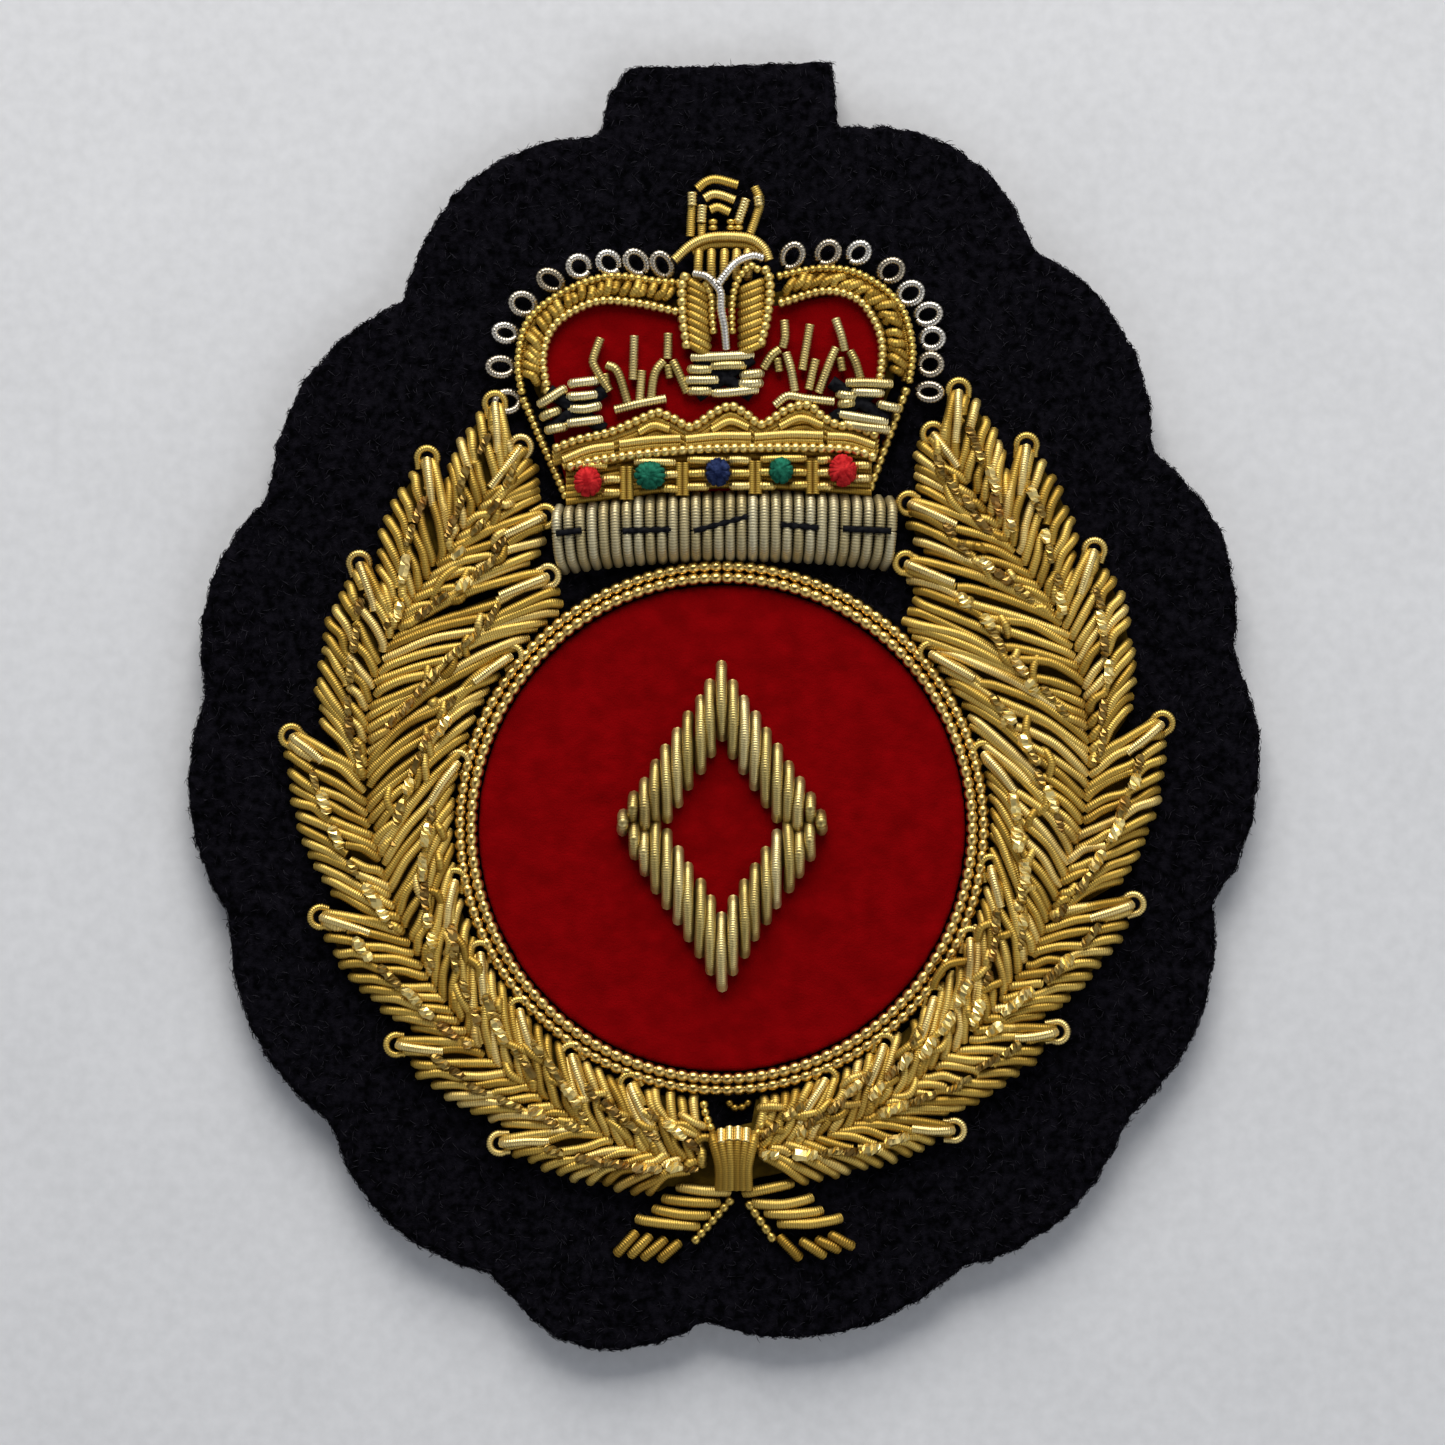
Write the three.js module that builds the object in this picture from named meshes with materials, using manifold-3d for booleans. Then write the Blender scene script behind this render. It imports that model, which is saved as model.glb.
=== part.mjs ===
// An officer's cap badge worked in gold wire on black felt, in millimetres.
// It lies on its back: the worked face looks up (+Z), the crown points along +Y, the cloth back rests at
// z = 0, and the origin is the middle of that back. Each layer of cloth, each padding and each worked motif
// is a solid of its own, stacked in the order in which the badge is sewn.
import * as THREE from 'three';
import { mergeVertices } from 'three/addons/utils/BufferGeometryUtils.js';
import Module from 'manifold-3d';

const wasm = await Module();
wasm.setup();

// ---------------------------------------------------------------- driving dimensions
const LINING = 0.3; // thickness of the cloth lining at the back
const BUCKRAM = 0.4; // thickness of the stiffener
const FELT = 1.6; // thickness of the black felt
const PADDING = 0.6; // thickness of the string and felt padding under raised work
const VELVET = 0.4; // thickness of the crown's velvet
const PURL = 0.62; // diameter of the coiled gold wire that all the work is cut from
const GAP = 0.3; // clearance between neighbouring motifs
const CORD = 0.64; // diameter of the beaded cord

const FELT_BOTTOM = LINING + BUCKRAM;
const FELT_TOP = FELT_BOTTOM + FELT;
const PAD_TOP = FELT_TOP + PADDING;
const VELVET_TOP = PAD_TOP + VELVET;

const RING = { x: -0.16, y: -7.5, radius: 16.2, pitch: 0.7 }; // outer cord's centre line, and the inner one's step
const EMBLEM = { y: -7.4, halfWidth: 5.4, halfHeight: 8, bar: 2.8, height: 0.9 };
const LEAF_HEIGHT = 1.35;
const SIDES = { left: -1, right: 1 };
const RIGHT_SHIFT = { x: 0.3, y: 0.8 }; // the right half is sewn this much further over and higher than a mirror image

// ---------------------------------------------------------------- materials
const surface = (color, roughness, metalness) => new THREE.MeshStandardMaterial({ color, roughness, metalness });
const gold = () => surface(0xb9923f, 0.35, 1);
const paleGold = () => surface(0xbfa565, 0.4, 1);
const silver = () => surface(0xb5ab93, 0.4, 1);
const blackFelt = () => surface(0x141218, 0.95, 0);
const redVelvet = () => surface(0x8c0508, 0.85, 0);
const wool = (color) => surface(color, 0.9, 0);
const string = () => surface(0xc9b27a, 0.9, 0);
const backing = () => surface(0x6e3a30, 0.9, 0);

const badge = new THREE.Group();

function add(name, geometry, material) {
  const mesh = new THREE.Mesh(geometry, material);
  mesh.name = name;
  badge.add(mesh);
}

// ---------------------------------------------------------------- plain shape helpers
const point = (x, y) => new THREE.Vector2(x, y);

/** A flat piece of even thickness, from its bottom upwards. */
function sheet(shape, bottom, thickness) {
  const geometry = new THREE.ExtrudeGeometry(shape, { depth: thickness, bevelEnabled: false, curveSegments: 6 });
  return geometry.translate(0, 0, bottom);
}

/** A raised piece with rounded edges that keep inside the shape's outline. */
function pillow(shape, bottom, height, round) {
  const geometry = new THREE.ExtrudeGeometry(shape, {
    depth: height - 2 * round,
    bevelThickness: round,
    bevelSize: round,
    bevelOffset: -round,
    bevelSegments: 2,
    curveSegments: 6,
  });
  return geometry.translate(0, 0, bottom + round);
}

/** The points at one distance to the left of a curve, from its start to its end. */
function besideCurve(curve, distance, steps) {
  return Array.from({ length: steps + 1 }, (_, i) => {
    const along = curve.getTangent(i / steps);
    return curve.getPoint(i / steps).add(point(-along.y, along.x).multiplyScalar(distance));
  });
}

/** The outline of a strip of even width along a curve. */
function strip(curve, width, steps) {
  const left = besideCurve(curve, width / 2, steps);
  const right = besideCurve(curve, -width / 2, steps);
  return new THREE.Shape([...right, ...left.reverse()]);
}

const through = (...pairs) => new THREE.SplineCurve(pairs.map(([x, y]) => point(x, y)));
const polygon = (pairs) => new THREE.Shape(pairs.map(([x, y]) => point(x, y)));

// ---------------------------------------------------------------- cutting and joining
function solid(geometry) {
  const bare = geometry.clone();
  bare.deleteAttribute('normal');
  bare.deleteAttribute('uv');
  const merged = mergeVertices(bare, 1e-4);
  return new wasm.Manifold(new wasm.Mesh({
    numProp: 3,
    vertProperties: merged.attributes.position.array,
    triVerts: merged.index.array,
  }));
}

function fromSolid(body) {
  const mesh = body.getMesh();
  const geometry = new THREE.BufferGeometry();
  geometry.setAttribute('position', new THREE.BufferAttribute(Float32Array.from(mesh.vertProperties), 3));
  geometry.setIndex(new THREE.BufferAttribute(Uint32Array.from(mesh.triVerts), 1));
  geometry.computeVertexNormals();
  return geometry;
}

/** The biggest of the separate bodies that a cut leaves. */
function biggest(body) {
  return body.decompose().reduce((best, other) => (other.volume() > best.volume() ? other : best));
}

// ---------------------------------------------------------------- cloth layers
// Each scallop of the felt's edge runs from one notch to the next, clockwise, and stands out by its bulge.
const SCALLOPS = [
  [6.9, 35.9, 2.9],
  [19.2, 28.3, 2.3],
  [26.5, 15.9, 2.0],
  [31.6, 3.5, 2.25],
  [30.3, -12.1, 1.9],
  [25.0, -25.5, 1.9],
  [14.7, -34.8, 2.4],
  [-1.3, -38.1, 3.24],
  [-14.3, -35.2, 2.1],
  [-24.3, -26.0, 1.8],
  [-30.7, -13.0, 1.7],
  [-32.2, 0.7, 1.8],
  [-28.2, 13.2, 2.2],
  [-19.9, 25.2, 3.1],
];
const TAB = [[-7.6, 35.5], [-7.2, 38.0], [-5.9, 39.6], [6.5, 40.0], [6.9, 38.2]];

/** The felt's scalloped outline with its square tab, drawn in by a share of its size. */
function badgeOutline(scale) {
  const shape = new THREE.Shape();
  SCALLOPS.forEach(([x, y, bulge], i) => {
    const start = point(x, y);
    const end = point(...(SCALLOPS[i + 1] ?? TAB[0]));
    const chord = end.clone().sub(start).normalize();
    const peak = start.clone().add(end).multiplyScalar(0.5).add(point(-chord.y, chord.x).multiplyScalar(2 * bulge));
    if (i === 0) shape.moveTo(x * scale, y * scale);
    shape.quadraticCurveTo(peak.x * scale, peak.y * scale, end.x * scale, end.y * scale);
  });
  TAB.slice(1).forEach(([x, y]) => shape.lineTo(x * scale, y * scale));
  return shape;
}

const LINING_SCALE = 0.985;
const BUCKRAM_SCALE = 0.97;
add('back_lining', sheet(badgeOutline(LINING_SCALE), 0, LINING), backing());
add('buckram_stiffener', sheet(badgeOutline(BUCKRAM_SCALE), LINING, BUCKRAM), wool(0xd8cfae));
add('felt_ground', sheet(badgeOutline(1), FELT_BOTTOM, FELT), blackFelt());

// ---------------------------------------------------------------- round field and its two cords
function fieldAndRing() {
  const innerRadius = RING.radius - RING.pitch;
  const field = new THREE.Shape().absarc(RING.x, RING.y, innerRadius - CORD / 2 - 0.1, 0, 2 * Math.PI);
  add('velvet_field', new THREE.ExtrudeGeometry(field, { depth: PADDING, bevelEnabled: false, curveSegments: 32 })
    .translate(0, 0, FELT_TOP), redVelvet());
  for (const [name, radius] of [['ring_cord_outer', RING.radius], ['ring_cord_inner', innerRadius]]) {
    const cord = new THREE.TorusGeometry(radius, CORD / 2, 6, 44);
    add(name, cord.translate(RING.x, RING.y, FELT_TOP + CORD / 2), gold());
  }
}
fieldAndRing();

// ---------------------------------------------------------------- emblem: a plain open lozenge of four bars
function lozenge(offset) {
  const slope = Math.hypot(EMBLEM.halfWidth, EMBLEM.halfHeight);
  return {
    across: EMBLEM.halfWidth + (offset * slope) / EMBLEM.halfHeight,
    up: EMBLEM.halfHeight + (offset * slope) / EMBLEM.halfWidth,
  };
}

function emblem() {
  const corners = ({ across, up }) => [[0, up], [across, 0], [0, -up], [-across, 0]];
  const paddingInset = 0.5;
  const padding = solid(sheet(polygon(corners(lozenge(EMBLEM.bar / 2 - paddingInset))), PAD_TOP, PADDING));
  const opening = solid(sheet(polygon(corners(lozenge(paddingInset - EMBLEM.bar / 2))), 0, 10));
  add('emblem_padding', fromSolid(padding.subtract(opening)).translate(RING.x, EMBLEM.y, 0), string());

  const outer = lozenge(EMBLEM.bar / 2);
  const inner = lozenge(-EMBLEM.bar / 2);
  const mitre = GAP / 2;
  for (const [name, sx, sy] of [
    ['upper_right', 1, 1], ['lower_right', 1, -1], ['lower_left', -1, -1], ['upper_left', -1, 1],
  ]) {
    const quarter = [[mitre, outer.up - mitre], [mitre, inner.up], [inner.across, mitre], [outer.across - mitre, mitre]];
    const bar = polygon(quarter.map(([x, y]) => [x * sx, y * sy]));
    add(`emblem_bar_${name}`,
      pillow(bar, PAD_TOP + PADDING, EMBLEM.height, 0.35).translate(RING.x, EMBLEM.y, 0), paleGold());
  }
}
emblem();

// ---------------------------------------------------------------- laurel wreath
// Places are those of the left branch; the right one is its mirror image, sewn slightly over and higher.
const STEM = [
  [-15.2, 12.4], [-18.6, 7.5], [-21.2, 3.0], [-22.2, -2.5], [-21.7, -8.0], [-19.6, -14.2],
  [-15.7, -20.4], [-11.4, -24.0], [-6.6, -27.0], [-1.8, -28.2],
];
const OUTER_LEAVES = [ // tip, foot on the stem, half width
  { tip: [-14.3, 18.8], foot: [-16.4, 9.4], half: 1.7 },
  { tip: [-18.4, 15.4], foot: [-20.4, 4.4], half: 2.3 },
  { tip: [-22.6, 8.8], foot: [-22.0, -2.6], half: 2.4 },
  { tip: [-26.7, -1.8], foot: [-20.6, -11.6], half: 2.4 },
  { tip: [-24.9, -13.0], foot: [-16.2, -19.9], half: 2.4 },
  { tip: [-20.2, -20.9], foot: [-10.8, -25.7], half: 2.3 },
  { tip: [-13.8, -27.0], foot: [-2.6, -28.4], half: 1.9 },
];
const INNER_LEAVES = [
  { tip: [-12.8, 16.0], foot: [-16.2, 9.6], half: 1.9 },
  { tip: [-11.0, 12.0], foot: [-17.8, 6.9], half: 2.0 },
  { tip: [-11.0, 7.3], foot: [-19.0, 3.0], half: 2.0 },
  { tip: [-14.2, 3.4], foot: [-20.6, -3.6], half: 2.0 },
];

/** A place on the left branch, carried to the branch asked for. */
function onSide(side, [x, y]) {
  return side === SIDES.left ? [x, y] : [RIGHT_SHIFT.x - x, y + RIGHT_SHIFT.y];
}

/** A padded leaf, pointed at both ends and flat underneath. */
function leafSolid(tip, foot, half, height) {
  const length = Math.hypot(foot[0] - tip[0], foot[1] - tip[1]);
  const steps = 7;
  const profile = Array.from({ length: steps + 1 }, (_, i) => (
    point(half * Math.sin((Math.PI * i) / steps), length * (i / steps - 0.5))
  ));
  profile[0].x = 0;
  profile[steps].x = 0;
  const body = new THREE.LatheGeometry(profile, 12);
  body.scale(1, 1, height / half);
  body.rotateZ(Math.atan2(foot[1] - tip[1], foot[0] - tip[0]) - Math.PI / 2);
  body.translate((tip[0] + foot[0]) / 2, (tip[1] + foot[1]) / 2, PAD_TOP);
  const above = new THREE.BoxGeometry(100, 100, 10).translate(0, 0, PAD_TOP + 5);
  return solid(body).intersect(solid(above));
}

function branch(sideName) {
  const side = SIDES[sideName];
  const stem = through(...STEM.map((place) => onSide(side, place)));
  const groove = solid(sheet(strip(stem, GAP, 30), 0, 10));
  const ringRoom = solid(new THREE.CylinderGeometry(RING.radius + 2 * GAP, RING.radius + 2 * GAP, 20, 44)
    .rotateX(Math.PI / 2).translate(RING.x, RING.y, 0));
  const topLeaf = OUTER_LEAVES[0];
  const aroundTopLeaf = leafSolid(
    onSide(side, topLeaf.tip), onSide(side, topLeaf.foot), topLeaf.half + GAP, LEAF_HEIGHT + GAP,
  );
  for (const [kind, leaves] of [['outer', OUTER_LEAVES], ['inner', INNER_LEAVES]]) {
    let above = groove.add(ringRoom);
    if (kind === 'inner') above = above.add(aroundTopLeaf);
    leaves.forEach((leaf, i) => {
      const tip = onSide(side, leaf.tip);
      const foot = onSide(side, leaf.foot);
      const body = biggest(leafSolid(tip, foot, leaf.half, LEAF_HEIGHT).subtract(above));
      add(`${kind}_leaf_${sideName}_${i + 1}`, fromSolid(body), gold());
      above = above.add(leafSolid(tip, foot, leaf.half + GAP, LEAF_HEIGHT + GAP));
    });
    if (kind === 'inner') lowerInnerLeaves(sideName, above);
  }
}

/** The low inner leaves crowd together between the ring and the stem, and are worked over one strip of padding. */
function lowerInnerLeaves(sideName, taken) {
  const middle = RING.radius + 2.1;
  const turn = { left: [170, 262], right: [10, -82] }[sideName].map(THREE.MathUtils.degToRad);
  const path = new THREE.EllipseCurve(RING.x, RING.y, middle, middle, turn[0], turn[1], sideName === 'right');
  const body = solid(pillow(strip(path, 2.4, 16), PAD_TOP, LEAF_HEIGHT, 0.3));
  add(`inner_leaf_${sideName}_5`, fromSolid(biggest(body.subtract(taken))), gold());
}

function wreath() {
  const left = STEM.map((place) => onSide(SIDES.left, place));
  const right = STEM.map((place) => onSide(SIDES.right, place)).reverse();
  const bed = strip(through(...left, ...right), 3.4, 48);
  add('wreath_padding', sheet(bed, FELT_TOP, PADDING), string());
  branch('left');
  branch('right');
}
wreath();

// ---------------------------------------------------------------- tie and ribbon ends
function tieAndRibbons() {
  const knot = polygon([[-1.2, -26.0], [-1.4, -29.7], [2.5, -29.7], [2.3, -26.0]]);
  add('tie', pillow(knot, PAD_TOP, 1.7, 0.4), gold());
  const ends = {
    left: [[0.2, -30.1], [-2.9, -30.1], [-5.5, -32.0], [-6.9, -34.1], [-3.4, -34.1], [-1.9, -32.6]],
    right: [[1.1, -30.1], [4.1, -30.1], [7.2, -32.0], [8.0, -34.1], [4.6, -34.1], [3.1, -32.6]],
  };
  for (const [side, outline] of Object.entries(ends)) {
    add(`ribbon_end_${side}`, pillow(polygon(outline), FELT_TOP, 1, 0.2), gold());
  }
}
tieAndRibbons();

// ---------------------------------------------------------------- crown
const ARCH = { width: 1.8, height: 1.3 };
const ARCH_PATHS = {
  left: [[-3.0, 25.3], [-5.2, 25.7], [-7.7, 25.75], [-10.2, 24.7], [-11.6, 22.7], [-11.8, 19.7]],
  right: [[3.1, 25.7], [6.0, 26.3], [8.1, 26.0], [9.9, 24.7], [10.6, 22.4], [10.5, 20.2]],
};
const SIDE_CORDS = { // beaded cords from each arch's foot to the ends of the circlet
  left: [[-12.4, 20.0], [-12.5, 19.1], [-9.95, 13.3]],
  right: [[11.1, 20.6], [11.25, 19.8], [8.95, 13.4]],
};
const VANDYKE = [ // the zigzag upper edge of the circlet
  [-10.2, 15.9], [-6.6, 17.2], [-4.2, 18.2], [-2.0, 17.4], [0.4, 18.6], [2.3, 17.5], [4.9, 18.5], [6.9, 17.4],
  [9.4, 16.6],
];

function crownCloth() {
  const steps = 12;
  const arches = { left: through(...ARCH_PATHS.left), right: through(...ARCH_PATHS.right) };
  const dome = (inset) => [
    ...besideCurve(arches.left, inset, steps).reverse(),
    ...besideCurve(arches.right, -inset, steps),
  ].map(({ x, y }) => [x, y]);
  const foot = [[9.0, 16.6], [8.0, 13.7], [-0.4, 13.7], [-9.0, 13.2], [-9.8, 15.9]];
  add('crown_padding', sheet(polygon([...dome(0), ...foot]), FELT_TOP, PADDING), string());
  add('crown_velvet', sheet(polygon([...dome(ARCH.width / 2 + GAP), ...foot]), PAD_TOP, VELVET), redVelvet());
}

function arches() {
  for (const side of ['left', 'right']) {
    const band = pillow(strip(through(...ARCH_PATHS[side]), ARCH.width, 14), PAD_TOP, ARCH.height, 0.35);
    const path = new THREE.CatmullRomCurve3(
      SIDE_CORDS[side].map(([x, y]) => new THREE.Vector3(x, y, PAD_TOP + CORD / 2)),
      false, 'catmullrom', 0.2,
    );
    const round = new THREE.Shape().absarc(0, 0, CORD / 2, 0, 2 * Math.PI);
    const cord = new THREE.ExtrudeGeometry(round, { steps: 8, extrudePath: path, curveSegments: 4 });
    add(`arch_${side}`, fromSolid(solid(band).add(solid(cord))), gold());
  }
  const centre = new THREE.Shape();
  centre.moveTo(-1.2, 22.2);
  centre.quadraticCurveTo(-2.7, 24.0, -2.5, 26.0);
  centre.quadraticCurveTo(0, 28.4, 2.5, 26.4);
  centre.quadraticCurveTo(2.7, 24.4, 1.4, 22.2);
  add('arch_centre', pillow(centre, VELVET_TOP, 1.4, 0.4), gold());
}

/** A row of little wire loops, joined where they are sewn down side by side. */
function silverLoops(side, centres) {
  const loop = { outer: 0.86, inner: 0.34, thickness: 0.52, sides: 8 };
  const disc = (radius, [x, y], height) => solid(new THREE.CylinderGeometry(radius, radius, height, loop.sides)
    .rotateX(Math.PI / 2).translate(x, y, FELT_TOP + loop.thickness / 2));
  const thread = sheet(strip(through(...centres), 0.5, centres.length - 1), FELT_TOP, loop.thickness);
  let row = solid(thread);
  for (const centre of centres) row = row.add(disc(loop.outer, centre, loop.thickness));
  for (const centre of centres) row = row.subtract(disc(loop.inner, centre, 2));
  add(`silver_loops_${side}`, fromSolid(biggest(row)), silver());
}

function circlet() {
  const band = polygon(VANDYKE);
  band.lineTo(8.2, 13.3);
  band.quadraticCurveTo(-0.4, 14.0, -9.15, 12.8);
  const top = VELVET_TOP + 0.8;
  add('circlet', sheet(band, VELVET_TOP, 0.8), gold());
  const jewels = [
    ['red_left', -8.45, 13.9, 0xb8232a], ['green_left', -4.6, 14.3, 0x1f5f46], ['blue', -0.4, 14.5, 0x18204a],
    ['green_right', 3.5, 14.6, 0x1f5f46], ['red_right', 7.3, 14.6, 0xb8232a],
  ];
  for (const [name, x, y, color] of jewels) {
    const knot = new THREE.SphereGeometry(0.85, 10, 8).rotateX(Math.PI / 2).scale(1, 1, 0.6);
    add(`jewel_${name}`, knot.translate(x, y, top + 0.85 * 0.6), wool(color));
  }
}

/** A cross with arms that widen outwards. */
function cross(halfWidth, halfHeight) {
  const corners = [];
  for (let arm = 0; arm < 4; arm += 1) {
    const along = arm % 2 === 0 ? halfWidth : halfHeight;
    const turn = (x, y) => point(x, y).rotateAround(point(0, 0), (arm * Math.PI) / 2);
    corners.push(turn(along, -0.75), turn(along, 0.75), turn(0.5, 0.5));
  }
  return new THREE.Shape(corners);
}

function crossesAndFleurs() {
  for (const [name, x, y, halfWidth, halfHeight] of [
    ['left', -9.15, 18.35, 1.6, 1.3], ['centre', 0, 20.4, 2.2, 1.6], ['right', 8.3, 18.9, 1.6, 1.4],
  ]) {
    add(`cross_${name}`, sheet(cross(halfWidth, halfHeight), VELVET_TOP, PURL).translate(x, y, 0), paleGold());
  }
  const half = [[0.6, 0], [0.9, 1.6], [2.5, 3.4], [1.9, 3.9], [0.5, 2.6]];
  const fleur = polygon([...half, [0, 4.6], ...half.map(([x, y]) => [-x, y]).reverse()]);
  add('fleur_left', sheet(fleur, VELVET_TOP, PURL).translate(-5.1, 18.9, 0), paleGold());
  add('fleur_right', sheet(fleur, VELVET_TOP, PURL).translate(5.0, 19.4, 0), paleGold());
}

function ermine() {
  const roll = new THREE.Shape();
  roll.moveTo(-10.2, 11.8);
  roll.quadraticCurveTo(-10.9, 9.6, -10.2, 7.7);
  roll.quadraticCurveTo(0, 11.2, 10.2, 8.1);
  roll.quadraticCurveTo(11.0, 10.2, 10.2, 12.4);
  roll.quadraticCurveTo(-0.2, 13.6, -10.2, 11.8);
  add('ermine_roll', pillow(roll, FELT_TOP, 2.2, 0.5), silver());
}

/** The orb's banded top with the cross that stands on it. */
function orbAndCross() {
  const band = new THREE.Shape();
  band.moveTo(-2.6, 27.6);
  band.quadraticCurveTo(-0.1, 29.8, 2.5, 27.8);
  band.lineTo(2.4, 28.6);
  band.quadraticCurveTo(1.6, 29.2, 0.7, 29.5);
  band.lineTo(2.3, 32.5);
  band.quadraticCurveTo(0, 33.1, -2.3, 32.5);
  band.lineTo(-0.9, 29.5);
  band.quadraticCurveTo(-1.8, 29.2, -2.6, 28.6);
  add('orb_and_cross', sheet(band, FELT_TOP, 1.3), gold());
}

crownCloth();
arches();
silverLoops('left', [
  [-3.9, 27.5], [-5.5, 27.6], [-7.2, 27.6], [-9.0, 27.3], [-10.9, 26.4], [-12.6, 25.0], [-13.6, 23.1], [-14.0, 21.0],
]);
silverLoops('right', [
  [4.4, 27.9], [6.4, 28.2], [8.4, 28.1], [10.4, 27.0], [11.8, 25.6], [12.7, 24.2], [12.9, 22.7], [12.8, 21.1],
  [12.7, 19.5],
]);
circlet();
crossesAndFleurs();
ermine();
orbAndCross();

export default badge;
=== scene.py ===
"""The looks of an embroidered cap badge: gold purl wire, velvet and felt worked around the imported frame.

Every length here is in millimetres in the frame's own axes and becomes metres when a mesh is made. Levels and
centres come from the CAD nodes; the lists of places are where the badge's own stitches lie.
"""
import math

import bpy
import numpy as np
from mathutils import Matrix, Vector, noise


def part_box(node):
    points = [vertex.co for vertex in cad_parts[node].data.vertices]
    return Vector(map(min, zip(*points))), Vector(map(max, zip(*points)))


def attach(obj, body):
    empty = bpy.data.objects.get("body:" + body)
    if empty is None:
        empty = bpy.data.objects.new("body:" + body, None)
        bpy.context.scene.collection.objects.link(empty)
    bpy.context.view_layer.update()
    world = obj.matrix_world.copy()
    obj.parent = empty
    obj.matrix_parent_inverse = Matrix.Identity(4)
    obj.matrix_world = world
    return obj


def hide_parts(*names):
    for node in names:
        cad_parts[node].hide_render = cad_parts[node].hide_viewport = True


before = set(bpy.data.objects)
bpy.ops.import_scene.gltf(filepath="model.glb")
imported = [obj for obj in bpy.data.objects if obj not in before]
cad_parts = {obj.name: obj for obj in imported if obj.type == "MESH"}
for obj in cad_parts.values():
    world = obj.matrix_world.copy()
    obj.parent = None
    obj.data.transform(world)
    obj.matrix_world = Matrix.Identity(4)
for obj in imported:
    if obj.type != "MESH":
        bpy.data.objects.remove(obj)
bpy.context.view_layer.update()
MM = 0.001
UP = np.array([0.0, 0.0, 1.0])
RNG = np.random.default_rng(11)


# ---------------------------------------------------------------- places taken from the frame
def box_mm(node):
    """A CAD node's lowest and highest corners in millimetres."""
    low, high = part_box(node)
    return np.array(low) / MM, np.array(high) / MM


def top_of(node):
    return box_mm(node)[1][2]


FELT_TOP = top_of("felt_ground")
PAD_TOP = top_of("wreath_padding")
VELVET_TOP = top_of("crown_velvet")
FIELD_TOP = top_of("velvet_field")
RING_LOW, RING_HIGH = box_mm("ring_cord_outer")
RING_CENTRE = (RING_LOW[:2] + RING_HIGH[:2]) / 2
CORD = 0.64  # diameter of the beaded cord round the field
RING_RADIUS = (RING_HIGH[0] - RING_LOW[0] - CORD) / 2
RING_STEP = 0.7  # from the outer cord's centre line to the inner one's
PURL = 0.31  # radius of the coiled wire that most of the work is cut from
COIL = 0.14  # length along the wire of one turn of its coil
WANDER = 0.055  # how far a hand-laid purl strays from a smooth curve
RIGHT_SHIFT = np.array([0.3, 0.8])  # how far the right branch lies from a mirror image of the left one


# ---------------------------------------------------------------- meshes made of many small pieces
class Work:
    """Gathers swept wires into one mesh, with how bright, how grooved and how shiny each point is."""

    def __init__(self):
        self.points = []
        self.quads = []
        self.fans = []
        self.values = []
        self.flat = []
        self.count = 0

    def sweep(self, centres, tangents, radii, sides, tone, groove=None, shine=0.0, flat=False, turns=None):
        """Adds a closed tube round the given centres, with one radius for each."""
        across = np.cross(tangents, UP)
        across /= np.maximum(np.linalg.norm(across, axis=1, keepdims=True), 1e-6)
        above = np.cross(across, tangents)
        angles = np.arange(sides) * 2 * math.pi / sides
        angles = angles[None, :] + (0 if turns is None else turns[:, None])
        ring = np.cos(angles)[..., None] * across[:, None] + np.sin(angles)[..., None] * above[:, None]
        points = centres[:, None] + radii[:, None, None] * ring
        rows = len(centres)
        first = self.count + np.arange(rows - 1)[:, None] * sides
        here = np.arange(sides)[None, :]
        following = (here + 1) % sides
        quads = [first + here, first + following, first + sides + following, first + sides + here]
        start, end = self.count + rows * sides, self.count + rows * sides + 1
        last = self.count + (rows - 1) * sides
        here, following = here[0], following[0]
        fans = np.concatenate([
            np.stack([np.full(sides, start), self.count + following, self.count + here], axis=-1),
            np.stack([np.full(sides, end), last + here, last + following], axis=-1),
        ])
        self.points.append(np.concatenate([points.reshape(-1, 3), centres[:1], centres[-1:]]))
        groove = np.ones(rows) if groove is None else groove
        groove = np.concatenate([np.repeat(groove, sides), groove[:1], groove[-1:]])
        values = np.column_stack([np.full(len(groove), tone), groove, np.full(len(groove), shine)])
        self.values.append(values)
        self.quads.append(np.stack(quads, axis=-1).reshape(-1, 4))
        self.fans.append(fans)
        self.flat.append((len(self.quads[-1]), len(fans), flat))
        self.count = end + 1

    def build(self, name, material):
        """Makes the gathered wires into one piece."""
        quads = np.concatenate(self.quads)
        fans = np.concatenate(self.fans)
        corners = np.concatenate([quads.ravel(), fans.ravel()])
        sizes = np.concatenate([np.full(len(quads), 4), np.full(len(fans), 3)])
        starts = np.concatenate([[0], np.cumsum(sizes)[:-1]])
        smooth = [np.full(count, not flat) for count, _, flat in self.flat]
        smooth += [np.full(count, not flat) for _, count, flat in self.flat]
        mesh = bpy.data.meshes.new(name)
        points = np.concatenate(self.points) * MM
        mesh.vertices.add(len(points))
        mesh.vertices.foreach_set("co", points.ravel().astype(np.float32))
        mesh.loops.add(len(corners))
        mesh.loops.foreach_set("vertex_index", corners.astype(np.int32))
        mesh.polygons.add(len(sizes))
        mesh.polygons.foreach_set("loop_start", starts.astype(np.int32))
        mesh.polygons.foreach_set("use_smooth", np.concatenate(smooth))
        values = np.concatenate(self.values).astype(np.float32)
        for column, label in enumerate(("tone", "groove", "shine")):
            layer = mesh.attributes.new(label, "FLOAT", "POINT")
            layer.data.foreach_set("value", np.ascontiguousarray(values[:, column]))
        mesh.update(calc_edges=True)
        mesh.validate()
        return place(mesh, name, material)


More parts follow.
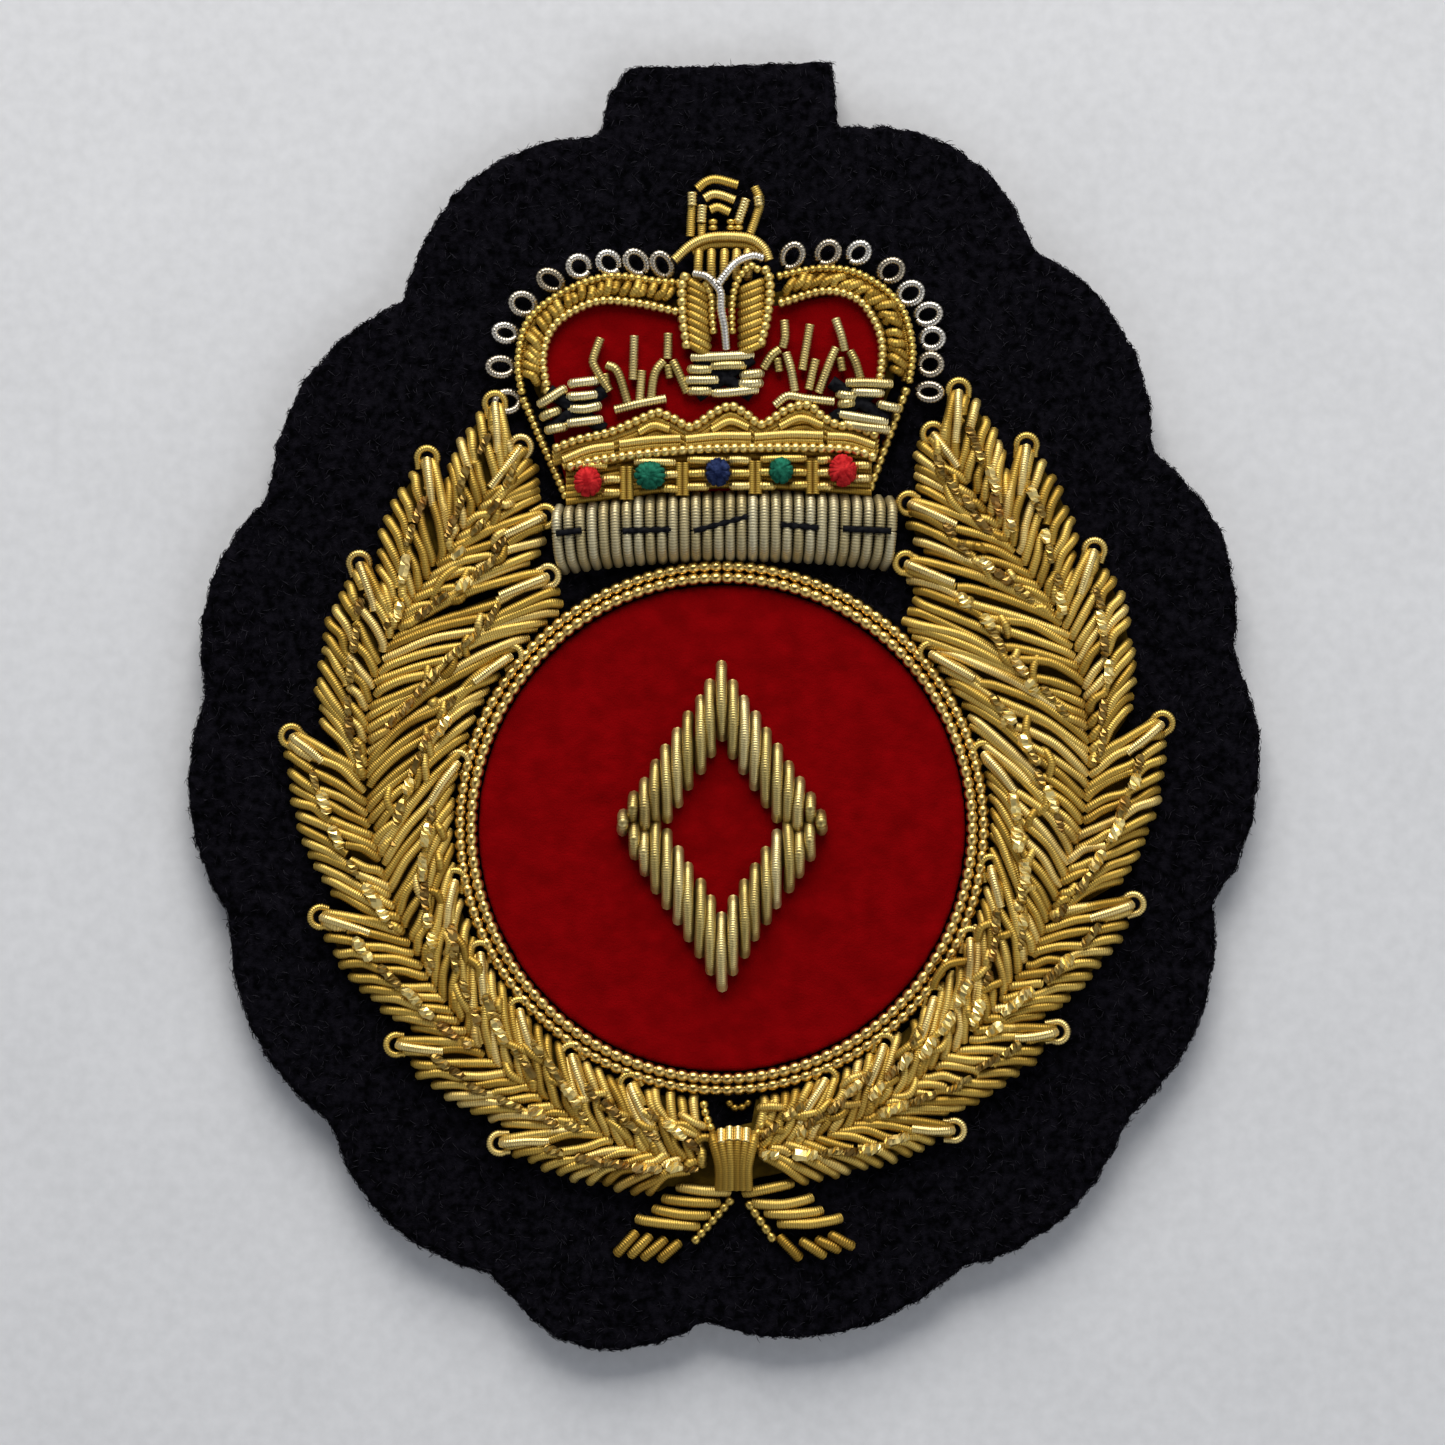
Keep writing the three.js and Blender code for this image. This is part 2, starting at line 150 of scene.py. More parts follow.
def add_object(name, data):
    """Puts an object with the given data into the scene."""
    thing = bpy.data.objects.new(name, data)
    bpy.context.scene.collection.objects.link(thing)
    return thing


def place(mesh, name, material, ending="wire"):
    """Adds a mesh as a piece. One named after a CAD node stands for it, and its own name gets an ending."""
    is_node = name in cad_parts
    mesh.name = f"{name}_{ending}" if is_node else name
    piece = add_object(mesh.name, mesh)
    mesh.materials.clear()
    mesh.materials.append(material)
    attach(piece, "root")
    if is_node:
        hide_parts(name)
    return piece


# ---------------------------------------------------------------- lines
def spline(points, steps=10):
    """A smooth curve through the points, as a dense line."""
    points = np.asarray(points, float)
    if len(points) == 2:
        share = np.linspace(0, 1, steps + 1)[:, None]
        return points[0] * (1 - share) + points[1] * share
    padded = np.vstack([2 * points[0] - points[1], points, 2 * points[-1] - points[-2]])
    share = np.linspace(0, 1, steps, endpoint=False)[:, None]
    pieces = []
    for a, b, c, d in zip(padded, padded[1:], padded[2:], padded[3:]):
        pieces.append(0.5 * (2 * b + (c - a) * share + (2 * a - 5 * b + 4 * c - d) * share**2
                             + (3 * b - a - 3 * c + d) * share**3))
    return np.vstack([*pieces, points[-1:]])


def unit(vector):
    return vector / np.linalg.norm(vector)


def lengths_along(line):
    return np.concatenate([[0.0], np.cumsum(np.linalg.norm(np.diff(line, axis=0), axis=1))])


def sample(line, places):
    """Points and directions at given distances along a line."""
    gone = lengths_along(line)
    slopes = np.gradient(line, axis=0)
    slopes /= np.linalg.norm(slopes, axis=1, keepdims=True)
    points = np.column_stack([np.interp(places, gone, line[:, k]) for k in range(3)])
    headings = np.column_stack([np.interp(places, gone, slopes[:, k]) for k in range(3)])
    headings /= np.linalg.norm(headings, axis=1, keepdims=True)
    return points, headings


def at_height(points, z):
    """Flat points lifted to one height, or to a height each."""
    points = np.asarray(points, float)
    return np.column_stack([points, np.broadcast_to(z, len(points))])


def laid(points, z, steps=10):
    """A smooth curve through flat points lifted to one height, or to a height each."""
    return spline(at_height(points, z), steps)


def lay(work, wire, lines, z, **look):
    """Lays one wire of a kind along each of several flat lines."""
    for line in lines:
        wire(work, laid(line, z), **look)


def heading(degrees):
    return np.array([math.cos(math.radians(degrees)), math.sin(math.radians(degrees))])


# ---------------------------------------------------------------- kinds of wire
def purl(work, line, radius=PURL, coil=COIL, tone=None, shine=0.0):
    """A cut length of close-coiled wire, hollow at its ends."""
    total = lengths_along(line)[-1]
    turns = max(3, round(total / coil))
    step = total / turns
    grid = (np.arange(turns)[:, None] + np.array([0.0, 0.3, 0.7])).ravel() * step
    swell = np.tile([0.87, 1.0, 1.0], turns) * radius
    depth = np.tile([0.0, 1.0, 1.0], turns)
    hole = min(0.25, total / 4)
    places = np.concatenate([[hole, 0.02, 0.0], grid[1:], [total, total - 0.02, total - hole]])
    radii = np.concatenate([[0.3 * radius, 0.5 * radius, 0.9 * radius], swell[1:],
                            [0.9 * radius, 0.5 * radius, 0.3 * radius]])
    # the groove values feed painted shade: darkest inside the hollow ends, darker in the coil's valleys
    groove = np.concatenate([[-1.0, 0.0, 0.6], depth[1:], [0.6, 0.0, -1.0]])
    points, headings = sample(line, places)
    tone = RNG.uniform(0, 1) if tone is None else tone
    work.sweep(points, headings, radii, 8, tone, groove, shine)


def check_purl(work, line, radius=0.32, tone=0.5):
    """A cut length of bright check: a coil of faceted wire that glints at every turn."""
    total = lengths_along(line)[-1]
    count = max(3, round(total / 0.2))
    places = np.linspace(0, total, count)
    points, headings = sample(line, places)
    radii = radius * RNG.uniform(0.85, 1.12, count)
    radii[0] = radii[-1] = 0.6 * radius
    turns = np.cumsum(RNG.uniform(0.35, 1.0, count))
    work.sweep(points, headings, radii, 6, tone, None, 0.5, True, turns)


def beads(work, line, radius=0.3, pitch=0.71, waist=0.5, tone=None):
    """Beaded cord: stiff wire coiled so that it looks like a string of beads."""
    total = lengths_along(line)[-1]
    count = max(1, round(total / pitch))
    share = np.array([0.0, 0.1, 0.28, 0.5, 0.72, 0.9])
    profile = np.maximum(np.sqrt(1 - (2 * share - 1) ** 4), waist)
    places = (np.arange(count)[:, None] + share).ravel() * total / count
    places = np.append(places, total)
    radii = np.append(np.tile(profile, count), waist) * radius
    # the groove values feed painted shade in the narrow waists between beads
    groove = np.append(np.tile([-0.5, 0.7, 1, 1, 1, 0.7], count), -0.5)
    points, headings = sample(line, places)
    tone = RNG.uniform(0.5, 0.8) if tone is None else tone
    work.sweep(points, headings, radii, 8, tone, groove, 0.45)


def chip(work, start, end, low, high, low_end=None, bow=0.0, radius=PURL, tone=None, shine=0.0, wander=0.012):
    """A cut purl laid from start to end over padding: low at its ends and high between them."""
    start, end = np.asarray(start, float), np.asarray(end, float)
    low_end = low if low_end is None else low_end
    share = np.array([0.0, 0.14, 0.5, 0.86, 1.0])
    flat = start * (1 - share[:, None]) + end * share[:, None]
    span = end - start
    sideways = np.array([-span[1], span[0]])
    flat = flat + sideways * (bow * 4 * share * (1 - share))[:, None]
    flat[1:4] += sideways / max(np.linalg.norm(sideways), 1e-6) * RNG.normal(0, wander, (3, 1))
    lift = np.array([0.0, 0.62, 1.0, 0.62, 0.0])
    ends = low * (1 - share) + low_end * share
    heights = ends + (high - ends) * lift
    purl(work, laid(flat, heights, 6), radius, tone=tone, shine=shine)


def along(line, shares):
    """Points at given shares of a flat line's length."""
    gone = lengths_along(line)
    places = np.asarray(shares) * gone[-1]
    return np.column_stack([np.interp(places, gone, line[:, 0]), np.interp(places, gone, line[:, 1])])


def across(line, lies):
    """How wide a flat line is when it is looked at along the purls that cross it."""
    steps = np.diff(line, axis=0)
    lies = (lies[1:] + lies[:-1]) / 2
    return float(np.abs(steps[:, 0] * lies[:, 1] - steps[:, 1] * lies[:, 0]).sum())


def satin(work, first, second, levels, bow=0.0, radius=PURL, tones=(0.1, 0.95), slack=0.95):
    """Fills the ground between two flat lines with purls laid side by side from the first to the second."""
    shares = np.linspace(0, 1, 25)
    starts, ends = along(first, shares), along(second, shares)
    lies = ends - starts
    lies /= np.maximum(np.linalg.norm(lies, axis=1, keepdims=True), 1e-6)
    count = max(2, round(max(across(starts, lies), across(ends, lies)) / (2 * radius * slack)))
    shares = (np.arange(count) + 0.5 + RNG.uniform(-0.12, 0.12, count)) / count
    starts, ends = along(first, shares), along(second, shares)
    for start, end in zip(starts, ends):
        span = end - start
        length = np.linalg.norm(span)
        if length < 0.45:
            continue
        lie = span / length
        start = start + lie * RNG.uniform(-0.18, 0.15) + RNG.normal(0, 0.05, 2)
        end = end + lie * RNG.uniform(-0.15, 0.1) + RNG.normal(0, 0.07, 2)
        low, high, foot = levels
        chip(work, start, end, low, high + RNG.normal(0, 0.06), foot, bow + RNG.normal(0, 0.028), radius,
             RNG.uniform(*tones), wander=WANDER)


def new_material(name):
    material = bpy.data.materials.new(name)
    material.use_nodes = True
    nodes = material.node_tree.nodes
    return material, nodes, material.node_tree.links, nodes["Principled BSDF"]


def attribute(nodes, name):
    node = nodes.new("ShaderNodeAttribute")
    node.attribute_name = name
    return node.outputs["Fac"]


def ramp(nodes, links, value, stops):
    node = nodes.new("ShaderNodeValToRGB")
    while len(node.color_ramp.elements) < len(stops):
        node.color_ramp.elements.new(0.5)
    for element, (place_on_ramp, colour) in zip(node.color_ramp.elements, stops):
        element.position = place_on_ramp
        element.color = (*colour, 1)
    links.new(value, node.inputs["Fac"])
    return node.outputs["Color"]


def texture(nodes, links, scale_mm, detail=2.0):
    """Noise whose patches are about scale_mm across."""
    place_node = nodes.new("ShaderNodeTexCoord")
    node = nodes.new("ShaderNodeTexNoise")
    node.inputs["Scale"].default_value = 1 / (scale_mm * MM)
    node.inputs["Detail"].default_value = detail
    links.new(place_node.outputs["Object"], node.inputs["Vector"])
    return node.outputs["Fac"]


def remap(nodes, links, value, low, high, to_low=0.0, to_high=1.0):
    node = nodes.new("ShaderNodeMapRange")
    node.inputs["From Min"].default_value = low
    node.inputs["From Max"].default_value = high
    node.inputs["To Min"].default_value = to_low
    node.inputs["To Max"].default_value = to_high
    links.new(value, node.inputs["Value"])
    return node.outputs["Result"]


def blend(nodes, links, share, first, second, kind="MIX"):
    node = nodes.new("ShaderNodeMix")
    node.data_type = "RGBA"
    node.blend_type = kind
    for label, value in (("Factor", share), ("A", first), ("B", second)):
        socket = node.inputs[label]
        if isinstance(value, bpy.types.NodeSocket):
            links.new(value, socket)
        elif isinstance(value, tuple):
            socket.default_value = (*value, 1)
        else:
            socket.default_value = value
    return node.outputs["Result"]


def height_above_felt(nodes, links, reach_mm):
    """0 down at the felt, 1 at reach_mm above it."""
    place_node = nodes.new("ShaderNodeTexCoord")
    parts = nodes.new("ShaderNodeSeparateXYZ")
    links.new(place_node.outputs["Object"], parts.inputs["Vector"])
    return remap(nodes, links, parts.outputs["Z"], FELT_TOP * MM, (FELT_TOP + reach_mm) * MM)


def wire_material(name, stops, tarnish, hollow_painted_shade, roughness=0.34):
    """Coiled plated wire: each cut length has its own shade, with tarnish in patches, and painted shade
    darkening it low down near the felt, in the coil's valleys and inside its hollow ends.
    """
    material, nodes, links, shader = new_material(name)
    shade = ramp(nodes, links, attribute(nodes, "tone"), stops)
    patches = remap(nodes, links, texture(nodes, links, 3.5), 0.55, 0.75, 0.0, 0.6)
    shade = blend(nodes, links, patches, shade, tarnish)
    # painted shade: the wire darkens towards the felt, standing in for the shade between the purls
    low = remap(nodes, links, height_above_felt(nodes, links, 1.0), 0.25, 0.95, 0.75, 0.0)
    shade = blend(nodes, links, low, shade, hollow_painted_shade)
    # painted shade in the coil's valleys and inside the hollow ends, from each point's groove value
    depth = remap(nodes, links, attribute(nodes, "groove"), -1.0, 1.0, 0.95, 0.0)
    shade = blend(nodes, links, depth, shade, hollow_painted_shade)
    links.new(shade, shader.inputs["Base Color"])
    shine = attribute(nodes, "shine")
    rough = remap(nodes, links, shine, 0.0, 1.0, roughness, 0.16)
    speckle = remap(nodes, links, texture(nodes, links, 0.8), 0.3, 0.7, 0.0, 0.12)
    total = nodes.new("ShaderNodeMath")
    total.operation = "ADD"
    links.new(rough, total.inputs[0])
    links.new(speckle, total.inputs[1])
    links.new(total.outputs[0], shader.inputs["Roughness"])
    shader.inputs["Metallic"].default_value = 1.0
    return material


# Each wire: its name, its shades of gold by tone, its tarnish colour, the colour of its painted shade, and
# its roughness.
GOLD = wire_material(
    "gold_purl",
    [(0.0, (0.36, 0.215, 0.035)), (0.45, (0.60, 0.405, 0.085)), (0.8, (0.74, 0.53, 0.14)),
     (1.0, (0.88, 0.68, 0.27))],
    (0.30, 0.15, 0.02), (0.19, 0.10, 0.006), 0.47,
)
PALE_GOLD = wire_material(
    "pale_gold_purl",
    [(0.0, (0.47, 0.355, 0.11)), (0.6, (0.66, 0.52, 0.20)), (1.0, (0.88, 0.76, 0.42))],
    (0.30, 0.20, 0.06), (0.12, 0.07, 0.015), 0.38,
)
BEADED = wire_material(
    "gold_beaded_cord",
    [(0.0, (0.58, 0.36, 0.085)), (0.6, (0.80, 0.55, 0.17)), (1.0, (0.92, 0.70, 0.30))],
    (0.50, 0.28, 0.07), (0.22, 0.10, 0.012), 0.28,
)
SILVER = wire_material(
    "silver_purl",
    [(0.0, (0.44, 0.37, 0.26)), (0.5, (0.68, 0.62, 0.51)), (1.0, (0.90, 0.87, 0.80))],
    (0.40, 0.31, 0.18), (0.16, 0.12, 0.07), 0.30,
)
TARNISHED = wire_material(
    "tarnished_silver_purl",
    [(0.0, (0.40, 0.32, 0.145)), (0.5, (0.52, 0.44, 0.245)), (1.0, (0.62, 0.56, 0.37))],
    (0.34, 0.26, 0.10), (0.14, 0.095, 0.03), 0.50,
)
CHECK = wire_material(
    "bright_check_purl",
    [(0.0, (0.22, 0.13, 0.035)), (0.5, (0.42, 0.29, 0.08)), (1.0, (1.0, 0.79, 0.30))],
    (0.42, 0.19, 0.05), (0.18, 0.09, 0.008), 0.42,
)


def cloth_material(name, dark, light, patch_mm, bump_mm=0.0):
    """A woollen or cotton surface, mottled between two shades."""
    material, nodes, links, shader = new_material(name)
    mottle = remap(nodes, links, texture(nodes, links, patch_mm, 4.0), 0.35, 0.68)
    links.new(blend(nodes, links, mottle, dark, light), shader.inputs["Base Color"])
    shader.inputs["Roughness"].default_value = 0.95
    shader.inputs["Specular IOR Level"].default_value = 0.02
    if bump_mm:
        bump = nodes.new("ShaderNodeBump")
        bump.inputs["Strength"].default_value = 0.6
        bump.inputs["Distance"].default_value = bump_mm * MM
        links.new(texture(nodes, links, 0.12, 3.0), bump.inputs["Height"])
        links.new(bump.outputs["Normal"], shader.inputs["Normal"])
    return material


FELT = cloth_material("black_felt", (0.0004, 0.0004, 0.0007), (0.0056, 0.0050, 0.0074), 0.5, bump_mm=0.12)
FELT_FIBRE = cloth_material("black_felt_fibre", (0.0035, 0.0032, 0.0045), (0.027, 0.025, 0.031), 1.2)
VELVET = cloth_material("red_velvet", (0.150, 0.0003, 0.0009), (0.205, 0.0006, 0.0016), 1.6, bump_mm=0.07)
# The padding felt's colour is halved as painted shade, so that padding seen between the purls reads as
# shadow.
PADDING_WITH_SHADE = cloth_material("padding_felt", (0.040, 0.024, 0.003), (0.080, 0.049, 0.006), 0.6, bump_mm=0.06)
LINING = cloth_material("lining_cloth", (0.12, 0.03, 0.02), (0.22, 0.06, 0.04), 0.5, bump_mm=0.05)
BUCKRAM = cloth_material("buckram", (0.42, 0.36, 0.25), (0.6, 0.54, 0.4), 0.4, bump_mm=0.08)
RED_WOOL = cloth_material("red_wool", (0.30, 0.008, 0.010), (0.62, 0.03, 0.03), 0.35, bump_mm=0.06)
GREEN_WOOL = cloth_material("green_wool", (0.006, 0.06, 0.035), (0.02, 0.17, 0.10), 0.35, bump_mm=0.06)
BLUE_WOOL = cloth_material("blue_wool", (0.006, 0.010, 0.035), (0.03, 0.045, 0.12), 0.35, bump_mm=0.06)
BLACK_THREAD = cloth_material("black_thread", (0.003, 0.003, 0.004), (0.012, 0.012, 0.014), 0.3)


# ---------------------------------------------------------------- cloth made from the CAD's own solids
def roughen(points, normals, wavelengths):
    """Moves points in and out along their normals by noise of several sizes."""
    moved = points.copy()
    for size, amount in wavelengths:
        for index, place_at in enumerate(points):
            moved[index] += normals[index] * amount * noise.noise(Vector(place_at / size))
    return moved


def vectors(collection, label):
    """One vector of each item in a mesh's collection, as rows."""
    values = np.empty(len(collection) * 3)
    collection.foreach_get(label, values)
    return values.reshape(-1, 3)


def cloth(node, material, voxel, wavelengths, shape=None):
    """A fine closed mesh of a CAD cloth solid, roughened as wool or pile is, which stands for that node."""
    piece = add_object(node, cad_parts[node].data.copy())
    remesh = piece.modifiers.new("remesh", "REMESH")
    remesh.mode = "VOXEL"
    remesh.voxel_size = voxel * MM
    fine = bpy.data.meshes.new_from_object(piece.evaluated_get(bpy.context.evaluated_depsgraph_get()))
    bpy.data.objects.remove(piece)
    points = vectors(fine.vertices, "co") / MM
    points = roughen(points, vectors(fine.vertex_normals, "vector"), wavelengths)
    if shape is not None:
        points = shape(points)
    points[:, 2] = np.maximum(points[:, 2], 0)
    fine.vertices.foreach_set("co", (points * MM).ravel())
    fine.update()
    fine.polygons.foreach_set("use_smooth", np.ones(len(fine.polygons), bool))
    return place(fine, node, material, "cloth")


def domed(low, high, rise, spread=1.0):
    """Lifts the top of a flat cloth into a dome and spreads its edge a little."""
    centre = (low[:2] + high[:2]) / 2
    half = (high[:2] - low[:2]) / 2

    def shape(points):
        points[:, :2] = centre + (points[:, :2] - centre) * spread
        out = np.linalg.norm((points[:, :2] - centre) / half, axis=1)
        share = (points[:, 2] - low[2]) / (high[2] - low[2])
        points[:, 2] += rise * np.clip(share, 0, 1) * np.clip(1 - out**2, 0, 1)
        return points

    return shape


def slimmed(low, high):
    """Cuts a lozenge's corners back and lowers its top, so that its purls cover it."""
    centre, half = (low[:2] + high[:2]) / 2, (high[:2] - low[:2]) / 2

    def shape(points):
        from_centre = points[:, :2] - centre
        level = np.abs(from_centre / half).sum(axis=1)
        points[:, :2] = centre + from_centre * (np.minimum(level, 0.84) / np.maximum(level, 1e-6))[:, None]
        points[:, 2] -= 0.15 * (points[:, 2] - low[2]) / (high[2] - low[2])
        return points

    return shape


def flat_area(node):
    """The area of a cloth's outline, in square metres, from its volume and thickness."""
    low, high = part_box(node)
    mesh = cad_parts[node].data
    mesh.calc_loop_triangles()
    volume = 0.0
    for triangle in mesh.loop_triangles:
        a, b, c = (mesh.vertices[i].co for i in triangle.vertices)
        volume += a.dot(b.cross(c)) / 6
    return volume / (high[2] - low[2])


def declare_sheet(node):
    flat_area(node)


def make_cloths():
    lining = cloth("back_lining", LINING, 0.3, [(1.5, 0.03)])
    declare_sheet("back_lining")
    buckram = cloth("buckram_stiffener", BUCKRAM, 0.34, [(2.0, 0.03)])
    declare_sheet("buckram_stiffener")
    felt = cloth("felt_ground", FELT, 0.36, [(1.2, 0.18), (0.55, 0.14)])
    declare_sheet("felt_ground")
    field = cloth("velvet_field", VELVET, 0.2, [(1.4, 0.05), (0.35, 0.04)],
                  shape=domed(*box_mm("velvet_field"), 0.25))
    declare_sheet("velvet_field")
    crown = cloth("crown_velvet", VELVET, 0.16, [(1.2, 0.05), (0.35, 0.04)],
                  shape=domed(*box_mm("crown_velvet"), 0.2, 1.06))
    declare_sheet("crown_velvet")
    for node in ("wreath_padding", "crown_padding", "emblem_padding"):
        shape = slimmed(*box_mm(node)) if node == "emblem_padding" else None
        pad = cloth(node, PADDING_WITH_SHADE, 0.2, [(0.9, 0.06)], shape=shape)
    return felt


FACE_FIBRES = 7600  # in each of the two pieces of nap, which stay under the export's limit apart
EDGE_FIBRES = 5000


def felt_fibres(felt):
    """Loose wool ends that lie over the felt and stand out at its cut edge."""
    centres = vectors(felt.data.polygons, "center") / MM
    normals = vectors(felt.data.polygons, "normal")
    face = np.flatnonzero(normals[:, 2] > 0.5)
    edge = np.flatnonzero((np.abs(normals[:, 2]) < 0.6) & (centres[:, 2] > 0.9))
    fields = [
        ("felt_nap", face, FACE_FIBRES),
        ("felt_nap_more", face, FACE_FIBRES),
        ("felt_edge_fuzz", edge, EDGE_FIBRES),
    ]
    for name, places, count in fields:
        work = Work()
        for pick in RNG.choice(places, count):
            fibre(work, centres[pick], normals[pick])
        work.build(name, FELT_FIBRE)


def fibre(work, root, outward):
    """One curled wool end that rises from its root and lies back on the felt."""
    turn = RNG.uniform(0, 2 * math.pi)
    lie = np.array([math.cos(turn), math.sin(turn), 0.0])
    lie = unit(lie - outward * lie.dot(outward))
    side = np.cross(outward, lie)
    length = RNG.uniform(0.2, 0.7)
    curl = RNG.uniform(-0.9, 0.9)
    rise = RNG.uniform(0.03, 0.17)
    share = np.linspace(0, 1, 4)[:, None]
    line = root - outward * 0.05 + lie * (length * share) + side * (curl * length * share**2)
    line = line + outward * (rise * np.sin(share * 2.6) + 0.04)
    line[:, 2] = np.maximum(line[:, 2], 0.05)
    points, headings = sample(line, np.linspace(0, length, 4))
    work.sweep(points, headings, np.array([0.014, 0.024, 0.02, 0.008]), 3, 0.5)


# ---------------------------------------------------------------- round field
def make_ring():
    """Two rows of beaded cord, each laid round from the top to where it began."""
    turn = np.radians(np.linspace(89.999, 449.989, 241))  # the two ends stop just short of each other
    circle = np.column_stack([np.cos(turn), np.sin(turn)])
    rows = [
        ("ring_cord_outer", RING_RADIUS, PAD_TOP + 0.12),
        ("ring_cord_inner", RING_RADIUS - RING_STEP, PAD_TOP + 0.3),
    ]
    for node, radius, z in rows:
        work = Work()
        line = at_height(RING_CENTRE + radius * circle, z)
        beads(work, line, radius=0.375, pitch=0.705, waist=0.62, tone=0.45)
        work.build(node, BEADED)


# ---------------------------------------------------------------- emblem
BAR = 2.9  # width of the emblem's bars
EMBLEM_PURL = 0.355  # radius of the emblem's stouter purl


def make_emblem():
    """A plain open lozenge: four padded bars of upright purls that meet in staggered joints at its sides."""
    bars = [f"emblem_bar_{level}_{side}" for level in ("upper", "lower") for side in ("left", "right")]
    boxes = [box_mm(bar) for bar in bars]
    low, high = np.min(boxes, axis=(0, 1)), np.max(boxes, axis=(0, 1))
    centre, outside = (low[:2] + high[:2]) / 2, (high[:2] - low[:2]) / 2
    slope = outside[0] / outside[1]
    half_width = outside[0] - BAR / 2 * math.hypot(slope, 1)
    half_height = half_width / slope
    half_purl = BAR / 2 / math.sin(math.atan(slope)) - EMBLEM_PURL
    spacing = 2 * EMBLEM_PURL * 0.96
    for up, level in ((1, "upper"), (-1, "lower")):
        for over, side in ((1, "right"), (-1, "left")):
            work = Work()
            first = 1 if side == "right" else 0  # the purls on the middle line belong to the left bars
            for k in range(first, int(outside[0] / spacing) + 1):
                x = centre[0] + over * spacing * k
                rise = half_height * (1 - spacing * k / half_width)
                joint = 0.3 * up * (-1) ** k + 0.05
                near, far = max(rise - half_purl, joint), rise + half_purl * RNG.uniform(0.96, 1.0)
                if far - near < 2 * EMBLEM_PURL:
                    continue
                ends = [np.array([x, centre[1] + up * y]) + RNG.normal(0, 0.03, 2) for y in (far, near)]
                chip(work, *ends, FIELD_TOP + 0.3, FIELD_TOP + 1.7, radius=EMBLEM_PURL,
                     tone=RNG.uniform(0.1, 0.8), bow=RNG.normal(0, 0.01))
            work.build(f"emblem_bar_{level}_{side}", PALE_GOLD)


# ---------------------------------------------------------------- laurel wreath
# Places on the left branch, in the frame's millimetres; the right branch mirrors them.
STEM = [  # from the crown down to the tie
    (-15.2, 12.4), (-18.6, 7.5), (-21.2, 3.0), (-22.2, -2.5), (-21.7, -8.0), (-19.6, -14.2),
    (-15.7, -20.4), (-11.4, -24.0), (-6.6, -27.0), (-1.2, -28.3),
]
OUTER_JOINTS = [  # where each outer leaf leaves the stem, from the crown down
    (-13.6, 14.6), (-17.1, 9.7), (-20.4, 4.4), (-22.2, -4.6), (-19.7, -14.2), (-15.0, -21.1), (-7.6, -26.4),
    (-0.9, -28.4),
]
INNER_JOINTS = [  # the same for the inner leaves
    (-13.9, 14.4), (-17.4, 9.2), (-20.4, 4.6), (-22.2, -2.4), (-21.2, -9.6), (-18.0, -17.2), (-14.8, -21.2),
    (-11.4, -24.0), (-8.0, -26.1), (-4.0, -27.7), (-0.9, -28.2),
]
OUTER_LEAVES = [  # tip, heel where the next leaf begins, how far the free edge bulges
    ((-14.2, 18.8), (-17.2, 13.4), 0.7),
    ((-18.4, 15.4), (-21.2, 7.2), 1.1),
    ((-22.6, 8.9), (-24.7, -1.4), 1.1),
    ((-26.8, -1.8), (-24.0, -11.8), 1.0),
    ((-25.0, -13.0), (-19.0, -20.0), 0.9),
    ((-20.3, -20.9), (-13.0, -26.0), 0.8),
    ((-13.9, -27.0), (-4.2, -30.1), 0.6),
]
INNER_LEAVES = [
    ((-12.6, 16.1), (-11.6, 12.6), -0.5),
    ((-11.1, 11.8), (-12.7, 8.7), -0.7),
    ((-10.9, 8.1), (-13.6, 4.0), -0.5),
    ((-13.7, 3.6), (-16.8, -2.9), -0.1),
    ((-16.9, -3.3), (-17.2, -10.2), 0.2),
    ((-17.1, -10.8), (-15.5, -14.9), 0.2),
    ((-15.3, -15.3), (-13.1, -18.5), 0.2),
    ((-12.8, -18.8), (-9.9, -21.5), 0.2),
    ((-9.6, -21.7), (-6.3, -23.6), 0.2),
    ((-6.0, -23.8), (-1.7, -25.2), 0.2),
]


def on_side(side, places):
    """Places on the left branch carried to the branch asked for."""
    places = np.asarray(places, float)
    if side == "left":
        return places
    return places * [-1, 1] + RIGHT_SHIFT


def bulged(start, end, bulge, steps=24):
    """A flat line from start to end that stands off to its left by bulge in its middle."""
    share = np.linspace(0, 1, steps + 1)[:, None]
    chord = end - start
    out = unit(np.array([chord[1], -chord[0]]))
    return start + chord * share + out * (bulge * 4 * share * (1 - share))


def tip_loop(work, tip, inward, z):
    """A thin purl bent round the tip of a leaf, with a bright straight one inside it."""
    side = np.array([-inward[1], inward[0]])
    angle = np.radians(np.linspace(-115, 115, 11) + RNG.uniform(-15, 15))
    bend = tip + 0.62 * (np.sin(angle)[:, None] * side - np.cos(angle)[:, None] * inward)
    near_leg = bend[:1] + RNG.uniform(0.2, 0.7) * inward
    far_leg = bend[-1:] + RNG.uniform(0.2, 0.5) * inward
    legs = np.vstack([near_leg, bend, far_leg])
    heights = z + 0.2 + 0.25 * np.sin(np.linspace(0, math.pi, len(legs)))
    purl(work, laid(legs, heights, 4), radius=0.22, coil=0.13, tone=RNG.uniform(0.6, 1), shine=0.25)
    length = RNG.uniform(2.4, 3.2)
    start = tip + inward * 0.1
    chip(work, start, start + inward * length, z + 0.4, z + 1.0, z + 0.9, bow=RNG.normal(0, 0.02),
         radius=0.3, tone=1.0, shine=0.4)


def against_ring(line, gap=0.62, reach=1.9):
    """Slides the places that lie beside the ring inwards until they meet its outer cord."""
    out = line - RING_CENTRE
    far = np.linalg.norm(out, axis=1, keepdims=True)
    goal = RING_RADIUS + gap
    beside = (far > goal) & (far < goal + reach)
    return np.where(beside, RING_CENTRE + out * goal / far, line)


def nearest_on(line, point):
    return int(np.argmin(np.linalg.norm(line - np.asarray(point), axis=1)))


